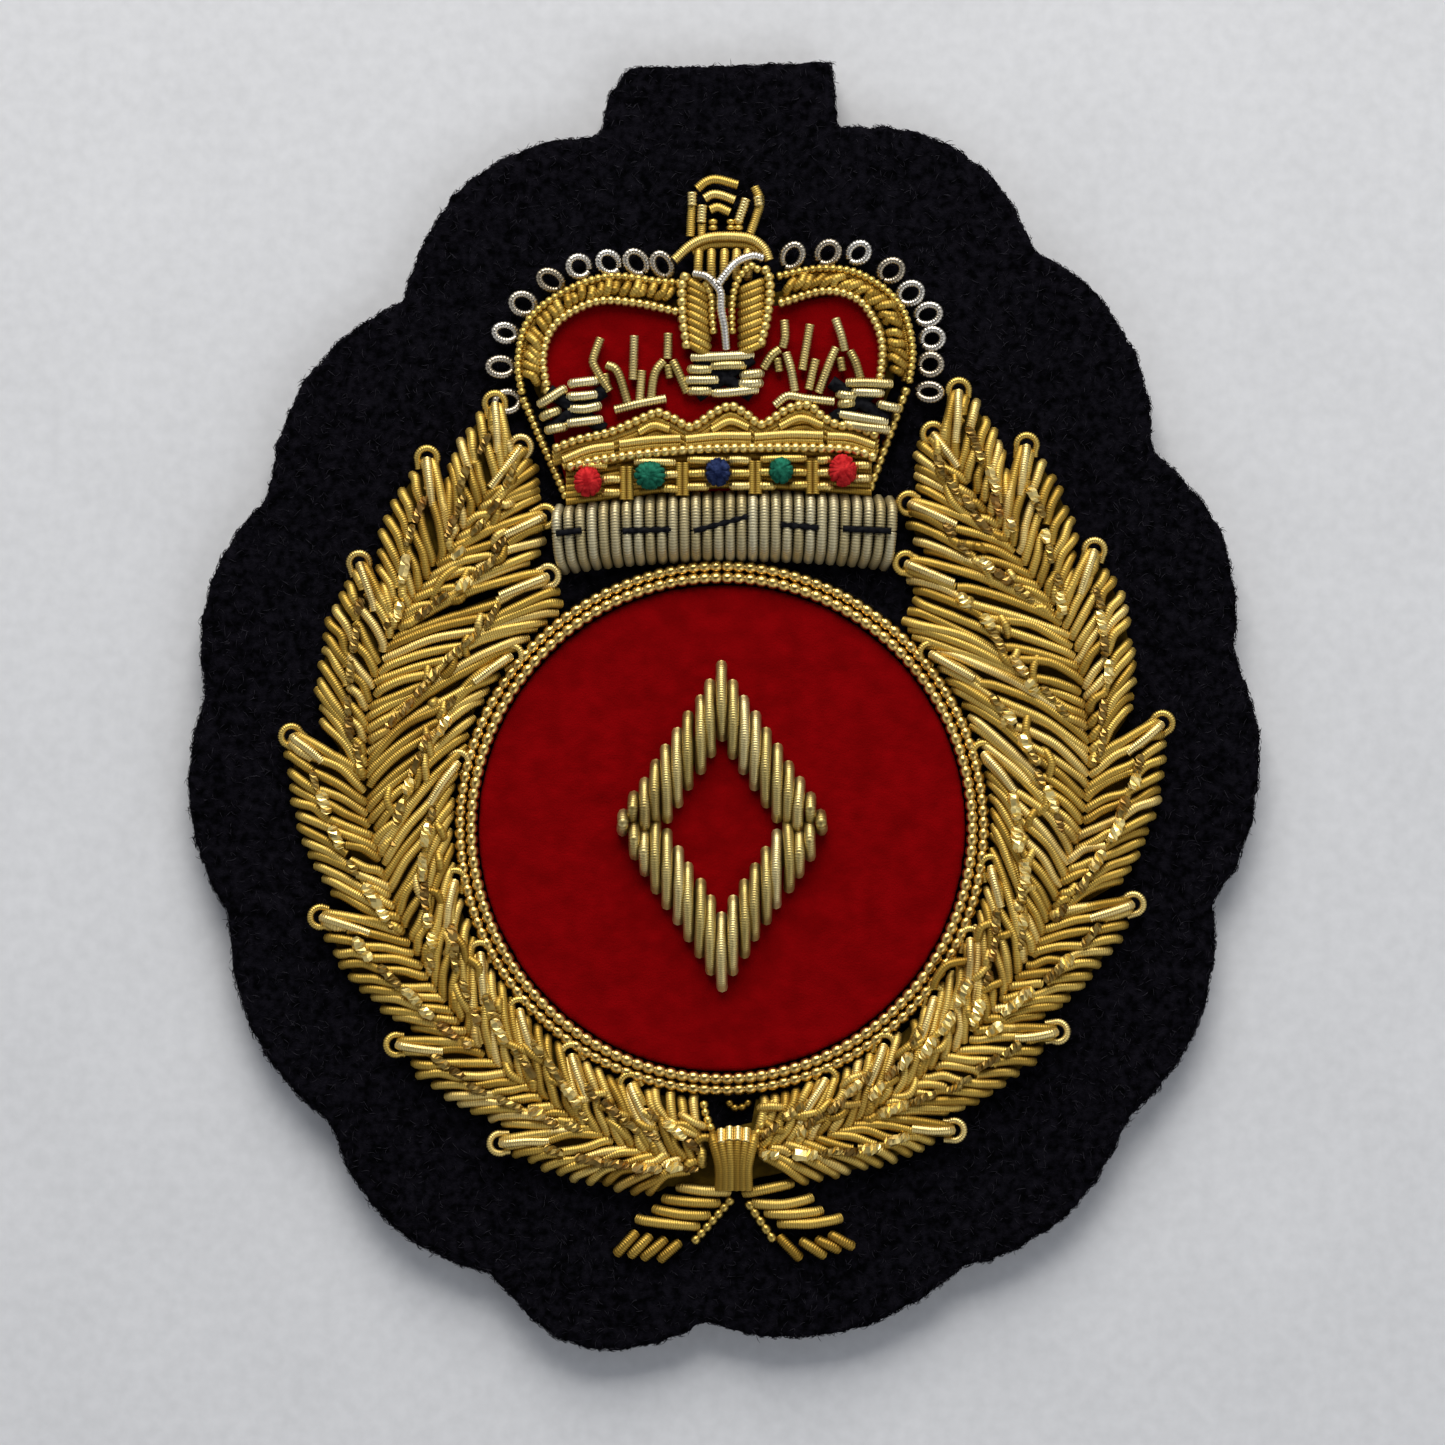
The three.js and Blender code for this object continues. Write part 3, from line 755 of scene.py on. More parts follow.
def vein_chips(work, line):
    """Short cuts of bright check laid along a leaf's vein: a few glint, the rest have gone brown."""
    raised = at_height(line, PAD_TOP + 0.8 + 0.3 * np.sin(np.linspace(0.2, math.pi, len(line))))
    total = lengths_along(raised)[-1]
    cut = RNG.uniform(0.0, 0.4)
    while cut < total - 0.5:
        length = min(RNG.uniform(0.9, 1.9), total - cut)
        points, _ = sample(raised, np.linspace(cut, cut + length, 5))
        points[:, :2] += RNG.normal(0, 0.13, 2)
        if RNG.uniform() < 0.36:
            points[:, 2] += 0.12
            check_purl(work, points, radius=RNG.uniform(0.32, 0.4), tone=RNG.uniform(0.8, 1.0))
        else:
            check_purl(work, points, radius=RNG.uniform(0.25, 0.33), tone=RNG.uniform(0, 0.5))
        cut += length + RNG.uniform(0.0, 0.9) ** 2


def tip_purls(work, tip, foot, inward, up_stem, levels, bow):
    """Three long purls between a leaf's tip and the upper end of its foot."""
    for k in range(3):
        start = tip + inward * (0.5 + 0.8 * k) + up_stem * (0.42 + 0.1 * k)
        end = foot + up_stem * (0.1 + 0.28 * k) - inward * 0.3
        if np.linalg.norm(end - start) > 1.0:
            chip(work, start, end, *levels, bow)


def stray_cuts(work, vein, up_stem, crest):
    """Short cuts that lie loosely on a leaf, more or less the way its stem runs."""
    for centre in vein[6:21:3] + RNG.normal(0, 0.5, (5, 2)):
        lie = -up_stem * RNG.uniform(0.4, 0.9) + RNG.normal(0, 0.22, 2)
        chip(work, centre - lie, centre + lie, crest - 0.1, crest + 0.35, bow=RNG.normal(0, 0.15),
             radius=0.27, tone=RNG.uniform(0, 0.9))


def leaf(name, side, tip, heel, bulge, joints, outer):
    """One laurel leaf: purls in echelon from its free edge to the stem, parted by a vein of bright check."""
    mirror = 1 if side == "left" else -1
    stem, joints = on_side(side, spline(STEM, 12)), on_side(side, joints)
    tip, heel = on_side(side, tip), on_side(side, heel)
    edge = bulged(tip, heel, mirror * bulge)
    if not outer:
        edge = against_ring(edge)
        tip = edge[0]
    first, last = (nearest_on(stem, joint) for joint in joints)
    foot = stem[first:last + 1] + np.array([mirror * (-0.12 if outer else 0.12), 0.0])
    if first == 0:
        foot = np.vstack([joints[0], foot])
    shares = np.linspace(0, 1, 25)
    starts, ends = along(edge, shares), along(foot, shares)
    part = (0.3 + 0.58 * shares**1.2)[:, None]
    vein = starts * (1 - part) + ends * part
    work = Work()
    edge_level, crest = FELT_TOP + 0.33, PAD_TOP + 0.62
    bow = mirror * (0.05 if outer else -0.06)
    satin(work, starts, vein, (edge_level, crest, crest - 0.05), bow)
    satin(work, vein, ends, (crest, crest + 0.12, PAD_TOP + 0.34), bow)
    inward = unit(ends[2] - tip)
    up_stem = unit(foot[0] - foot[-1])
    tip_purls(work, tip, ends[0], inward, up_stem, (edge_level + 0.25, crest + 0.1, PAD_TOP + 0.4), bow)
    if not outer:
        stray_cuts(work, vein, up_stem, crest)
    leaf_bed(f"{name}_bed", starts, ends, side)
    tip_loop(work, tip, inward, FELT_TOP + 0.45)
    work.build(name, GOLD)
    check = Work()
    vein_chips(check, vein[2:])
    check.build(f"{name}_vein", CHECK)


def leaf_bed(name, starts, ends, side):
    """The soft felt under a leaf's purls: thin at the free edge and full towards the stem."""
    parts = np.linspace(0.04, 0.98, 8)
    crest = FELT_TOP + 0.1 + (PAD_TOP - FELT_TOP + 0.1) * np.sin(np.linspace(0.1, 0.62, 8) * math.pi)
    rows = []
    for start, end in zip(starts, ends):
        over = start + (end - start) * parts[:, None]
        rows.append(np.vstack([at_height(over, crest), at_height(over[::-1], FELT_TOP + 0.02)]))
    points = np.vstack(rows) * MM
    size = len(rows[0])
    faces = [tuple(range(size)), tuple(range(len(points) - 1, len(points) - size - 1, -1))]
    for row in range(len(rows) - 1):
        for k in range(size):
            first, second = row * size + k, row * size + (k + 1) % size
            faces.append((first, first + size, second + size, second))
    if side == "right":
        faces = [face[::-1] for face in faces]
    mesh = bpy.data.meshes.new(name)
    mesh.from_pydata(points.tolist(), [], faces)
    place(mesh, name, PADDING_WITH_SHADE)


def make_wreath():
    for side in ("left", "right"):
        for number, (tip, heel, bulge) in enumerate(INNER_LEAVES, 1):
            joints = INNER_JOINTS[number - 1:number + 1]
            leaf(f"inner_leaf_{side}_{number}", side, tip, heel, bulge, joints, outer=False)
        for number, (tip, heel, bulge) in enumerate(OUTER_LEAVES, 1):
            joints = OUTER_JOINTS[number - 1:number + 1]
            leaf(f"outer_leaf_{side}_{number}", side, tip, heel, bulge, joints, outer=True)


# ---------------------------------------------------------------- tie and ribbon ends
def make_tie():
    work = Work()
    tops = [(-0.7, -26.4), (-0.2, -26.2), (0.32, -26.05), (0.84, -26.05), (1.36, -26.15), (1.86, -26.4)]
    for k, (x, y) in enumerate(tops):
        foot_x = 0.55 + (x - 0.55) * 0.7
        line = laid([(x, y), (x * 0.97, -26.8), (foot_x, -28.3), (foot_x, -29.8)],
                    PAD_TOP + np.array([0.6, 1.35, 1.3, 0.4]), 8)
        # the tie's purls get low tones as painted shade for the shadow over its lower half
        purl(work, line, tone=0.12 * (k % 3))
        if 0 < k < len(tops) - 1:
            bright = laid([(x, y + 0.1), (x * 0.98, y - 0.75)], PAD_TOP + np.array([1.0, 1.5]), 4)
            purl(work, bright, radius=0.29, coil=0.2, tone=1.0, shine=0.6)
    strings = [[(-1.3, -24.4), (-1.15, -25.2), (-0.8, -26.1), (-0.6, -26.7)],
               [(3.1, -24.3), (2.7, -25.1), (2.2, -26.0), (1.95, -26.6)]]
    lay(work, beads, strings, PAD_TOP + np.array([0.2, 0.5, 0.8, 0.8]),
        radius=0.27, pitch=0.54, tone=0.6)
    beads(work, laid([(0.2, -24.35), (0.55, -24.8), (1.2, -24.75), (1.6, -24.35)], FELT_TOP + 0.4),
          radius=0.24, pitch=0.5, tone=0.3)
    work.build("tie", GOLD)


def make_ribbons():
    rows = {
        "left": [((0.25, -30.05), (-2.85, -29.75)), ((-0.4, -30.7), (-3.75, -30.45)),
                 ((-1.0, -31.45), (-4.35, -31.1)), ((-1.65, -32.15), (-5.4, -31.7))],
        "right": [((1.25, -30.1), (4.15, -29.5)), ((1.8, -30.7), (5.4, -30.4)),
                  ((2.6, -31.3), (6.0, -31.2)), ((3.4, -32.0), (7.2, -31.65))],
    }
    feet = {
        "left": [((-5.5, -32.6), (-6.65, -33.85)), ((-4.65, -32.8), (-5.8, -33.95)),
                 ((-3.7, -33.0), (-5.0, -34.1)), ((-2.85, -33.2), (-3.95, -34.2))],
        "right": [((3.45, -32.85), (4.65, -34.1)), ((4.8, -33.1), (6.15, -33.95)),
                  ((5.8, -33.0), (7.05, -33.6)), ((6.6, -32.7), (7.9, -33.4))],
    }
    borders = {"left": [(0.5, -30.4), (-1.96, -33.2)], "right": [(1.4, -30.6), (3.1, -33.1)]}
    for side in ("left", "right"):
        work = Work()
        for start, end in rows[side]:
            chip(work, start, end, FELT_TOP + 0.35, FELT_TOP + 0.85, radius=0.34,
                 tone=RNG.uniform(0.4, 0.85), bow=RNG.normal(0, 0.03))
        for start, end in feet[side]:
            chip(work, start, end, FELT_TOP + 0.3, FELT_TOP + 0.55, radius=0.34, tone=RNG.uniform(0.0, 0.4))
        beads(work, laid(borders[side], FELT_TOP + 0.45), radius=0.3, pitch=0.55, tone=0.7)
        work.build(f"ribbon_end_{side}", GOLD)


# ---------------------------------------------------------------- crown
ARCHES = {
    "left": {
        "outer": [(-2.6, 26.2), (-4.1, 26.3), (-7.2, 26.6), (-10.0, 25.6), (-12.1, 23.9), (-12.75, 21.4),
                  (-12.5, 19.3)],
        "inner": [(-2.8, 24.4), (-5.7, 25.0), (-8.1, 25.0), (-10.4, 23.7), (-11.2, 21.7), (-10.9, 19.3)],
        "side": [(-12.5, 19.2), (-9.75, 12.9)],
    },
    "right": {
        "outer": [(3.2, 26.6), (6.0, 27.1), (8.5, 26.7), (10.8, 24.9), (11.6, 22.3), (11.4, 20.0)],
        "inner": [(3.3, 24.9), (6.2, 25.7), (8.2, 25.2), (9.3, 23.8), (9.75, 22.2), (9.6, 20.2)],
        "side": [(11.3, 19.8), (8.95, 13.4)],
    },
}


def make_arches():
    for side, lines in ARCHES.items():
        work = Work()
        level = PAD_TOP + 0.5
        outer = laid(lines["outer"], level + 0.1)
        inner = laid(lines["inner"], level + 0.35)
        beads(work, outer, radius=0.27, pitch=0.42, waist=0.6, tone=0.6)
        beads(work, inner, radius=0.3, pitch=0.45, waist=0.6, tone=0.85)
        beads(work, laid(lines["side"], FELT_TOP + 0.9), radius=0.29,
              pitch=0.42 if side == "left" else 0.58, tone=0.8)
        shares = np.linspace(0, 1, 30)
        lean = 0.09 if side == "left" else -0.09
        outside = along(outer[:, :2], np.clip(shares - lean, 0, 1))
        inside = along(inner[:, :2], np.clip(shares + lean, 0, 1))
        first, second = outside * 0.78 + inside * 0.22, outside * 0.3 + inside * 0.7
        satin(work, first, second, (level - 0.1, level + 0.4, level), 0.12 if side == "left" else -0.12, 0.28,
              (0.0, 0.6), slack=0.86)
        for share in (0.12, 0.9):
            line = at_height(outside * (1 - share) + inside * share, level - 0.2)
            purl(work, line, radius=0.3, tone=0.1)
        work.build(f"arch_{side}", GOLD)


def make_centre_arch():
    work = Work()
    level = VELVET_TOP + 0.45
    edges = [
        [(-2.3, 26.8), (-2.6, 26.1), (-2.6, 24.8), (-2.55, 23.8), (-2.3, 22.1)],
        [(2.4, 27.2), (2.75, 26.5), (2.8, 25.4), (2.6, 23.9), (2.2, 22.3)],
    ]
    loops = [
        [(-1.2, 26.3), (-0.8, 25.3), (-0.75, 24.2), (-0.65, 23.0)],
        [(2.2, 26.9), (1.6, 27.2), (0.85, 26.4), (0.5, 25.2), (0.45, 23.7), (0.5, 23.0)],
    ]
    lay(work, beads, edges, level + 0.3, radius=0.33, pitch=0.52, waist=0.6, tone=0.85)
    lay(work, beads, loops, level + 0.5, radius=0.25, pitch=0.4, waist=0.6, tone=0.8)
    for y in 26.2 - 0.48 * np.arange(9):
        for start, end in (((-2.2, y + 0.1), (-1.0, y - 0.6)), ((2.35, y + 0.1), (1.0, y - 0.5))):
            chip(work, start, end, level, level + 0.45, radius=0.27, tone=RNG.uniform(0, 0.6))
    work.build("arch_centre", GOLD)

    silver = Work()
    top = level + 1.0
    stem = [(-0.75, 26.3, top - 0.15), (-0.25, 25.6, top), (-0.2, 24.5, top), (0.0, 23.4, top - 0.1),
            (0.12, 22.1, level + 0.4)]
    purl(silver, spline(stem), radius=0.27, coil=0.2, tone=0.75)
    short_arm = [(-1.9, 26.75, top - 0.45), (-1.2, 26.6, top - 0.1), (-0.75, 26.3, top)]
    purl(silver, spline(short_arm), radius=0.25, coil=0.2, tone=0.5)
    long_arm = [(-0.4, 26.05, top + 0.1), (0.4, 27.1, top), (1.0, 27.6, top - 0.4), (1.8, 27.85, top - 0.65),
                (2.4, 27.7, top - 0.75)]
    purl(silver, spline(long_arm), radius=0.27, coil=0.2, tone=0.7)
    silver.build("arch_centre_silver", SILVER)


SILVER_LOOPS = {
    "left": [(-3.85, 27.35), (-5.45, 27.5), (-7.15, 27.5), (-9.0, 27.25), (-10.75, 26.4), (-12.45, 24.95),
             (-13.55, 23.15), (-13.85, 21.05), (-13.45, 18.9)],
    "right": [(4.2, 27.9), (6.4, 28.1), (8.3, 28.1), (10.3, 27.0), (11.5, 25.6), (12.6, 24.3), (12.85, 22.8),
              (12.75, 21.2), (12.7, 19.5)],
}


def make_silver_loops():
    """Short silver purls, each bent into a loop that stands outwards from the arch."""
    heart = np.array([0.0, 20.5])
    for side, centres in SILVER_LOOPS.items():
        work = Work()
        for centre in centres:
            outward = unit(np.array(centre) - heart)
            around = np.array([-outward[1], outward[0]])
            turn = np.radians(np.linspace(-82, 262, 17) + RNG.uniform(-25, 25))
            wide, tall = RNG.uniform(0.48, 0.62), RNG.uniform(0.64, 0.8)
            flat = (np.array(centre) + np.cos(turn)[:, None] * around * wide
                    + np.sin(turn)[:, None] * outward * tall)
            heights = FELT_TOP + 0.45 + 0.35 * np.sin(np.linspace(0, math.pi, len(turn)))
            purl(work, laid(flat, heights, 3), radius=0.24, coil=0.19,
                 tone=RNG.uniform(0.0, 0.8), shine=0.15)
        work.build(f"silver_loops_{side}", SILVER)


VANDYKE = [
    (-10.6, 15.9), (-9.1, 16.5), (-7.0, 17.0), (-4.7, 18.0), (-4.1, 18.2), (-3.1, 17.8), (-2.05, 17.3),
    (-0.8, 18.1), (0.0, 18.5), (0.6, 18.55), (1.5, 18.0), (2.3, 17.45), (3.7, 18.3), (4.5, 18.6), (5.3, 18.6),
    (6.1, 17.9), (7.1, 17.4), (8.1, 17.3), (9.5, 16.7),
]


def make_circlet():
    """The band at the crown's foot: laid purls, a zigzag edge, and frames of short purls for the jewels."""
    work = Work()
    level = VELVET_TOP + 0.4
    circlet_band(work, level)
    circlet_trim(work, level)
    circlet_frames(work, level)
    work.build("circlet", GOLD)


def circlet_band(work, level):
    for row in range(8):
        left, right = (-9.8, 12.7 + 0.43 * row), (9.1, 13.3 + 0.43 * row)
        middle = (-0.3, (left[1] + right[1]) / 2 + 0.75)
        purl(work, laid([left, middle, right], level - 0.3, 16), radius=0.26, tone=0.1)
    for drop, tone in ((0.5, 0.6), (0.95, 0.3), (1.35, 0.2)):
        points = [(x, y - drop * (0.6 + 0.4 * (y - 15.9) / 2.6)) for x, y in VANDYKE]
        purl(work, laid(points, level - 0.1 * drop, 5), radius=0.25, tone=tone)
    beads(work, laid(VANDYKE, level + 0.35, 5), radius=0.3, pitch=0.52, tone=0.85)
    band = [(-9.75, 14.8), (-7.2, 15.35), (-2.8, 15.85), (1.2, 16.0), (5.5, 16.0), (8.0, 15.85), (9.4, 15.35)]
    beads(work, laid(band, level + 0.35), radius=0.31, pitch=0.54, tone=0.9)


def circlet_trim(work, level):
    """Double purls over the beaded band, and crescents under the peaks of the zigzag."""
    rows = [
        [(-10.0, 15.25), (-8.4, 15.9), (-6.8, 16.15)], [(-6.5, 16.25), (-4.6, 16.5), (-2.7, 16.6)],
        [(-2.4, 16.55), (-0.4, 16.75), (1.65, 16.75)], [(1.85, 16.7), (4.0, 16.85), (6.1, 16.8)],
        [(6.35, 16.75), (7.8, 16.65), (9.3, 16.15)],
    ]
    for row in rows:
        purl(work, laid(row, level + 0.3), radius=0.28, tone=0.85, shine=0.1)
        lower = [(x, y - 0.4) for x, y in row]
        purl(work, laid(lower, level + 0.15), radius=0.24, tone=0.5)
    crescents = [[(-5.3, 16.95), (-4.4, 17.4), (-3.4, 17.15)], [(-0.8, 17.1), (0.35, 17.65), (1.5, 17.25)],
                 [(3.4, 17.3), (4.7, 17.85), (6.1, 17.4)]]
    for arc in crescents:
        purl(work, laid(arc, level + 0.25), radius=0.26, tone=0.8)
        inner = [(x, y + 0.42 if k == 1 else y + 0.3) for k, (x, y) in enumerate(arc)]
        purl(work, laid(inner, level + 0.1), radius=0.22, tone=0.4)


def circlet_frames(work, level):
    """Pairs of upright purls between the jewels, and short bright ones beside them."""
    for x, y in ((-6.05, 13.75), (-2.6, 14.0), (1.9, 14.1), (5.45, 14.1)):
        uprights = [[(x + step, y - 0.95), (x + step, y + 1.1)] for step in (-0.2, 0.2)]
        lay(work, purl, uprights, level + 0.25, radius=0.24, tone=0.25)
    shorts = [  # middle and length
        (-8.3, 14.9, 1.9), (-6.95, 14.05, 1.0), (-6.95, 13.25, 0.9),
        (-4.3, 15.15, 2.4), (-3.3, 14.35, 0.75), (-3.3, 13.5, 0.85),
        (-1.1, 15.25, 2.2), (-1.7, 14.4, 1.0), (-1.7, 13.6, 1.2), (0.9, 15.25, 1.2), (1.0, 14.45, 1.1),
        (1.0, 13.65, 1.1), (3.65, 15.3, 2.7), (2.5, 14.5, 0.7), (2.6, 13.65, 0.8), (4.65, 14.5, 0.8),
        (4.65, 13.7, 0.9), (6.15, 15.25, 0.7), (6.15, 14.45, 0.75), (6.15, 13.6, 0.75), (8.5, 14.9, 0.8),
        (8.5, 14.1, 0.8),
    ]
    for x, y, length in shorts:
        chip(work, (x - length / 2, y), (x + length / 2, y + RNG.normal(0, 0.03)), level + 0.1, level + 0.35,
             radius=0.27, tone=RNG.uniform(0.7, 1.0), shine=0.25)


def make_jewels():
    """Knots of coloured wool thread wound into little domes."""
    jewels = [  # name, wool, half width, half height
        ("red_left", RED_WOOL, 0.85, 0.94), ("green_left", GREEN_WOOL, 0.98, 0.88),
        ("blue", BLUE_WOOL, 0.74, 0.9), ("green_right", GREEN_WOOL, 0.7, 0.82),
        ("red_right", RED_WOOL, 0.85, 1.04),
    ]
    for name, wool, wide, tall in jewels:
        node = f"jewel_{name}"
        centre = np.mean(box_mm(node), axis=0)
        work = Work()
        for turn in np.linspace(0, math.pi, 12, endpoint=False):
            angle = np.linspace(-0.2, math.pi + 0.2, 15)
            lie = np.array([math.cos(turn), math.sin(turn), 0.0])
            shift = np.array([-lie[1], lie[0], 0.0]) * RNG.normal(0, 0.07)
            loop = centre + shift + np.column_stack([
                np.cos(angle) * lie[0] * wide * 0.84, np.cos(angle) * lie[1] * tall * 0.84,
                np.sin(angle) * 0.75 - 0.45,
            ])
            points, headings = sample(loop, np.linspace(0, lengths_along(loop)[-1], 22))
            work.sweep(points, headings, np.full(22, 0.17) * RNG.uniform(0.93, 1.07, 22), 7, 0.5)
        heights = np.linspace(-0.8, 0.78, 9)
        radii = np.sqrt(np.clip(1 - (heights / 0.8) ** 2, 0.01, 1)) * min(wide, tall) * 0.95
        core = centre + np.outer(heights * 0.9 - 0.4, UP)
        work.sweep(core, np.tile([0.02, 0.0, 1.0], (9, 1)), radii, 16, 0.5)
        work.build(node, wool)


def make_crosses():
    crosses = {
        "left": [((-9.5, 19.95), (-7.9, 20.15)), ((-9.6, 19.15), (-7.9, 19.3)), ((-9.5, 18.4), (-7.75, 18.6)),
                 ((-9.7, 17.5), (-7.65, 17.75)), ((-11.4, 18.7), (-9.9, 19.65)),
                 ((-11.2, 17.9), (-10.3, 18.3)), ((-10.9, 17.1), (-9.9, 17.3))],
        "centre": [((-2.0, 21.6), (1.75, 21.75)), ((-0.8, 21.05), (1.2, 21.1)),
                   ((-2.1, 20.85), (-0.9, 20.85)), ((-2.35, 20.15), (-0.4, 20.2)),
                   ((-2.1, 19.5), (-0.9, 19.5)), ((1.15, 20.5), (2.25, 20.6)),
                   ((1.0, 19.95), (2.2, 20.0)), ((-0.66, 19.4), (2.0, 19.6))],
        "right": [((7.6, 20.0), (10.3, 19.95)), ((8.0, 19.45), (9.7, 19.4)), ((7.1, 19.3), (8.0, 19.2)),
                  ((7.2, 18.7), (7.9, 18.75)), ((7.1, 18.1), (10.0, 17.6)), ((7.4, 17.5), (10.1, 17.1)),
                  ((9.6, 18.7), (10.7, 18.4))],
    }
    for name, lines in crosses.items():
        work = Work()
        for start, end in lines:
            chip(work, start, end, VELVET_TOP + 0.5, VELVET_TOP + 0.85, tone=RNG.uniform(0.6, 1.0),
                 shine=0.15, bow=RNG.normal(0, 0.02))
        work.build(f"cross_{name}", PALE_GOLD)
        cross_felt(f"cross_{name}")


def cross_felt(node, reach=2.1, thickness=0.42):
    """Two strips of black felt laid crosswise under a cross."""
    centre = np.mean(box_mm(node), axis=0)[:2]
    work = Work()
    for turn in (35, -35):
        line = at_height(centre + np.outer([-reach, reach], heading(turn)), VELVET_TOP + thickness)
        points, headings = sample(line, np.linspace(0, 2 * reach, 8))
        work.sweep(points, headings, np.full(8, thickness), 8, 0.5)
    work.build(f"{node}_felt", BLACK_THREAD)


FLEURS = {
    "left": [
        [(-7.65, 22.8), (-8.1, 21.5), (-7.95, 20.9), (-7.1, 19.5)],
        [(-7.3, 21.15), (-6.6, 20.7), (-5.95, 18.7)],
        [(-5.57, 22.95), (-5.65, 20.2)], [(-5.1, 20.8), (-5.25, 18.8)], [(-3.47, 23.1), (-3.52, 21.5)],
        [(-3.75, 21.4), (-4.3, 20.6), (-4.55, 18.9)], [(-3.2, 21.4), (-2.9, 20.8), (-2.3, 19.4)],
        [(-6.8, 18.35), (-5.2, 18.75), (-3.6, 19.05)],
    ],
    "right": [
        [(3.7, 23.9), (3.75, 22.9), (3.6, 22.2)], [(3.4, 22.1), (2.9, 21.7), (2.4, 20.9)],
        [(3.8, 21.9), (4.1, 20.9), (4.35, 19.5)], [(5.3, 23.65), (4.8, 20.8)],
        [(6.85, 24.0), (7.2, 23.0), (7.45, 22.0)], [(6.9, 22.2), (6.5, 21.3), (5.8, 19.4)],
        [(7.75, 22.0), (8.1, 21.3), (8.4, 20.3)], [(5.65, 21.5), (5.2, 19.6)],
        [(3.1, 18.6), (3.9, 19.2), (5.0, 19.05), (6.8, 18.85)],
    ],
}
FLEUR_TIES = {"left": [(-7.35, 20.2), (-3.47, 20.75)], "right": [(3.3, 21.15), (7.2, 21.2)]}


def make_fleurs():
    for side, lines in FLEURS.items():
        work = Work()
        for line in lines:
            heights = VELVET_TOP + 0.5 + 0.15 * np.sin(np.linspace(0.4, math.pi - 0.4, len(line)))
            purl(work, laid(line, heights, 8), radius=0.29, coil=0.17, tone=RNG.uniform(0.15, 0.75))
        for x, y in FLEUR_TIES[side]:
            line = at_height([(x - 0.05, y + 0.4), (x + 0.1, y - 0.45)], VELVET_TOP + 0.55)
            purl(work, spline(line, 6), radius=0.27, coil=0.24, tone=0.1)
        work.build(f"fleur_{side}", PALE_GOLD)


def make_ermine():
    """The silver roll: upright purls over a round padding, broken along the middle by black dashes."""
    work = Work()
    threads = Work()
    count = 30
    dashes = [(-10.4, -8.8, 10.7, 10.9), (-6.3, -3.3, 10.85, 10.95), (-1.9, 1.4, 10.85, 11.75),
              (3.5, 5.8, 11.25, 11.05), (7.3, 10.3, 11.0, 10.85)]
    for x in np.linspace(-10.2, 10.2, count):
        share = x / 10.2
        top = 13.15 - 0.55 * abs(share) ** 2.4 + 0.25 * share
        foot = 9.2 - 0.65 * abs(share) ** 2.2 + 0.12 * share
        fan = 0.35 * share * abs(share)
        line_x = np.array([x - fan, x, x + 0.5 * fan, x])
        y = np.array([foot, foot + 0.9, top - 0.8, top])
        z = FELT_TOP + np.array([0.35, 1.75, 1.9, 0.8]) - 0.4 * abs(share) ** 4
        line = spline(np.column_stack([line_x, y, z]), 8)
        broken = [d for d in dashes if d[0] - 0.1 <= x <= d[1] + 0.1]
        if not broken:
            purl(work, line, radius=0.33, coil=0.17, tone=RNG.uniform(0.3, 1.0))
            continue
        gone = lengths_along(line)
        x0, x1, y0, y1 = broken[0]
        middle = np.interp(x, [x0, x1], [y0, y1])
        cut = np.interp(middle, line[:, 1], gone)
        for near, far in ((0.0, cut - 0.05), (cut + 0.05, gone[-1])):
            part, _ = sample(line, np.linspace(near, far, 12))
            part[:, 2] -= 0.12 * (np.linspace(0, 1, 12) if near == 0 else np.linspace(1, 0, 12)) ** 4
            purl(work, part, radius=0.33, coil=0.17, tone=RNG.uniform(0.3, 1.0))
    for x0, x1, y0, y1 in dashes:
        line = laid([(x0, y0), (x1, y1)], FELT_TOP + 2.08)
        points, headings = sample(line, np.linspace(0, lengths_along(line)[-1], 14))
        threads.sweep(points, headings, np.full(14, 0.19), 6, 0.5)
    work.build("ermine_roll", TARNISHED)
    threads.build("ermine_dashes", BLACK_THREAD)


def make_orb_and_cross():
    work = Work()
    level = FELT_TOP + 0.55
    band = [(-3.1, 27.6), (-2.0, 28.6), (-0.7, 29.05), (1.4, 29.0), (2.4, 28.4), (2.75, 27.6)]
    purl(work, laid(band, level + 0.7), radius=0.32, tone=0.85, shine=0.2)
    lower = [(x, y - 0.45) for x, y in band[1:-1]]
    purl(work, laid(lower, level + 0.4), radius=0.28, tone=0.4)
    for x in (-1.6, -0.8, 0.0, 0.75, 1.45):
        chip(work, (x, 28.2), (x, 26.5), level + 0.5, level + 0.8, radius=0.29, tone=RNG.uniform(0.5, 0.9))
    arms = [
        [(-2.0, 31.0), (-2.05, 30.2), (-2.1, 29.1)],
        [(-1.4, 29.9), (-1.4, 29.1)],
        [(1.85, 32.2), (2.2, 31.3), (1.95, 30.3), (1.6, 29.3)],
        [(-1.7, 32.05), (-1.15, 32.5), (-0.45, 32.65), (0.85, 32.3)],
        [(-1.25, 31.45), (-0.75, 31.72), (-0.15, 31.66), (0.65, 31.35)],
        [(-0.9, 30.75), (-0.4, 30.92), (0.35, 30.6)],
    ]
    for line in arms:
        purl(work, laid(line, level + 0.3, 8), radius=0.29, tone=RNG.uniform(0.3, 0.9), shine=0.1)
    brights = [[(-2.0, 31.85), (-2.0, 31.0)], [(-1.36, 31.05), (-1.42, 29.95)], [(1.35, 31.45), (0.85, 30.0)],
               [(2.05, 31.6), (2.15, 31.0)]]
    lay(work, purl, brights, level + 0.5, coil=0.2, tone=1.0, shine=0.45)
    knots = [[(x, 30.2), (x, 29.45)] for x in (-0.7, 0.4, 0.87)]
    lay(work, beads, knots, level + 0.4, pitch=0.37, waist=0.4)
    work.build("orb_and_cross", GOLD)


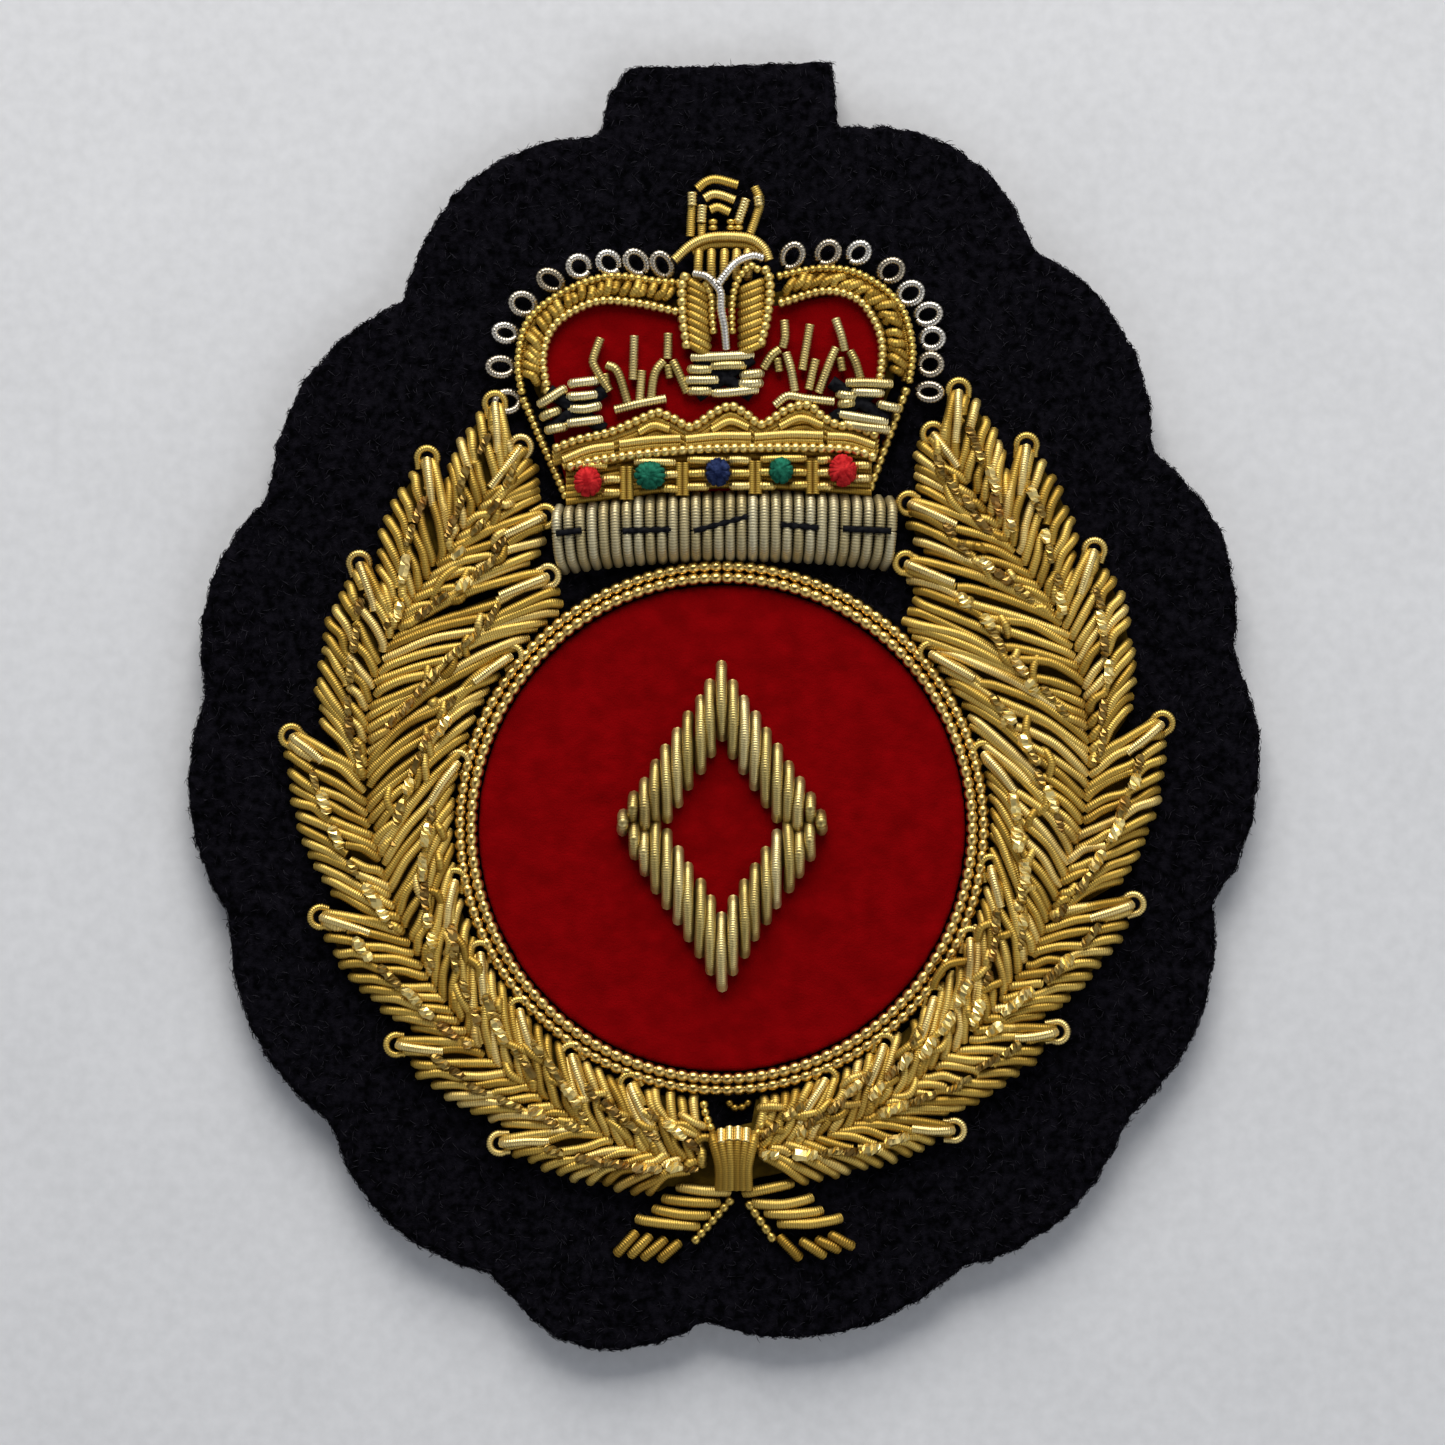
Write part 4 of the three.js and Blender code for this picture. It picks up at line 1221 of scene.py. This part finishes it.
# ---------------------------------------------------------------- stage
def make_paper():
    """The light grey sheet that the badge lies on."""
    paper, nodes, links, shader = new_material("paper")
    mottle = remap(nodes, links, texture(nodes, links, 9.0, 5.0), 0.3, 0.7)
    broad = blend(nodes, links, mottle, (0.61, 0.61, 0.615), (0.64, 0.64, 0.645))
    pulp = remap(nodes, links, texture(nodes, links, 0.9, 4.0), 0.3, 0.7, 0.945, 1.03)
    links.new(blend(nodes, links, 1.0, broad, pulp, "MULTIPLY"), shader.inputs["Base Color"])
    shader.inputs["Roughness"].default_value = 0.85
    bpy.ops.mesh.primitive_plane_add(size=8.0, location=(0, 0, -0.1 * MM))
    floor = bpy.context.object
    floor.name = "paper_floor"
    floor.data.materials.append(paper)


def area_light(name, place_at, size, power, colour):
    """A square lamp that faces the badge. Its place and size are in metres."""
    light = bpy.data.lights.new(name, "AREA")
    light.size = size
    light.energy = power
    light.color = colour
    lamp = add_object(name, light)
    lamp.location = place_at
    lamp.rotation_euler = (-Vector(place_at)).to_track_quat("-Z", "Y").to_euler()


def make_lights():
    """A warm window beyond the crown, a weak cool lamp opposite, and a room that is dark overhead."""
    area_light("window", (-0.02, 0.44, 0.31), 0.38, 3.5, (1.0, 0.985, 0.96))
    area_light("room", (0.38, -0.36, 0.5), 0.5, 0.82, (0.94, 0.97, 1.0))
    world = bpy.data.worlds.new("room")
    world.use_nodes = True
    nodes, links = world.node_tree.nodes, world.node_tree.links
    sky = nodes.new("ShaderNodeTexCoord")
    parts = nodes.new("ShaderNodeSeparateXYZ")
    links.new(sky.outputs["Generated"], parts.inputs["Vector"])
    dim, bright = (0.05, 0.052, 0.06), (0.46, 0.485, 0.54)
    shade = ramp(nodes, links, parts.outputs["Z"], [(0.0, bright), (0.62, bright), (0.93, dim), (1.0, dim)])
    links.new(shade, nodes["Background"].inputs["Color"])
    bpy.context.scene.world = world
    bpy.context.scene.view_settings.view_transform = "Standard"


def make_camera():
    camera = add_object("camera", bpy.data.cameras.new("camera"))
    frame_width = 89.6 * MM  # width of the picture at the height of the work
    distance = 0.42
    camera.data.sensor_width = 36.0
    camera.data.lens = camera.data.sensor_width * distance / frame_width
    camera.data.clip_start = 0.01
    camera.location = (-0.12 * MM, -0.96 * MM, distance + FELT_TOP * MM)
    bpy.context.scene.camera = camera


make_camera()
make_paper()
make_lights()
felt_piece = make_cloths()
felt_fibres(felt_piece)
make_ring()
make_emblem()
make_wreath()
make_tie()
make_ribbons()
make_arches()
make_centre_arch()
make_silver_loops()
make_circlet()
make_jewels()
make_crosses()
make_fleurs()
make_ermine()
make_orb_and_cross()
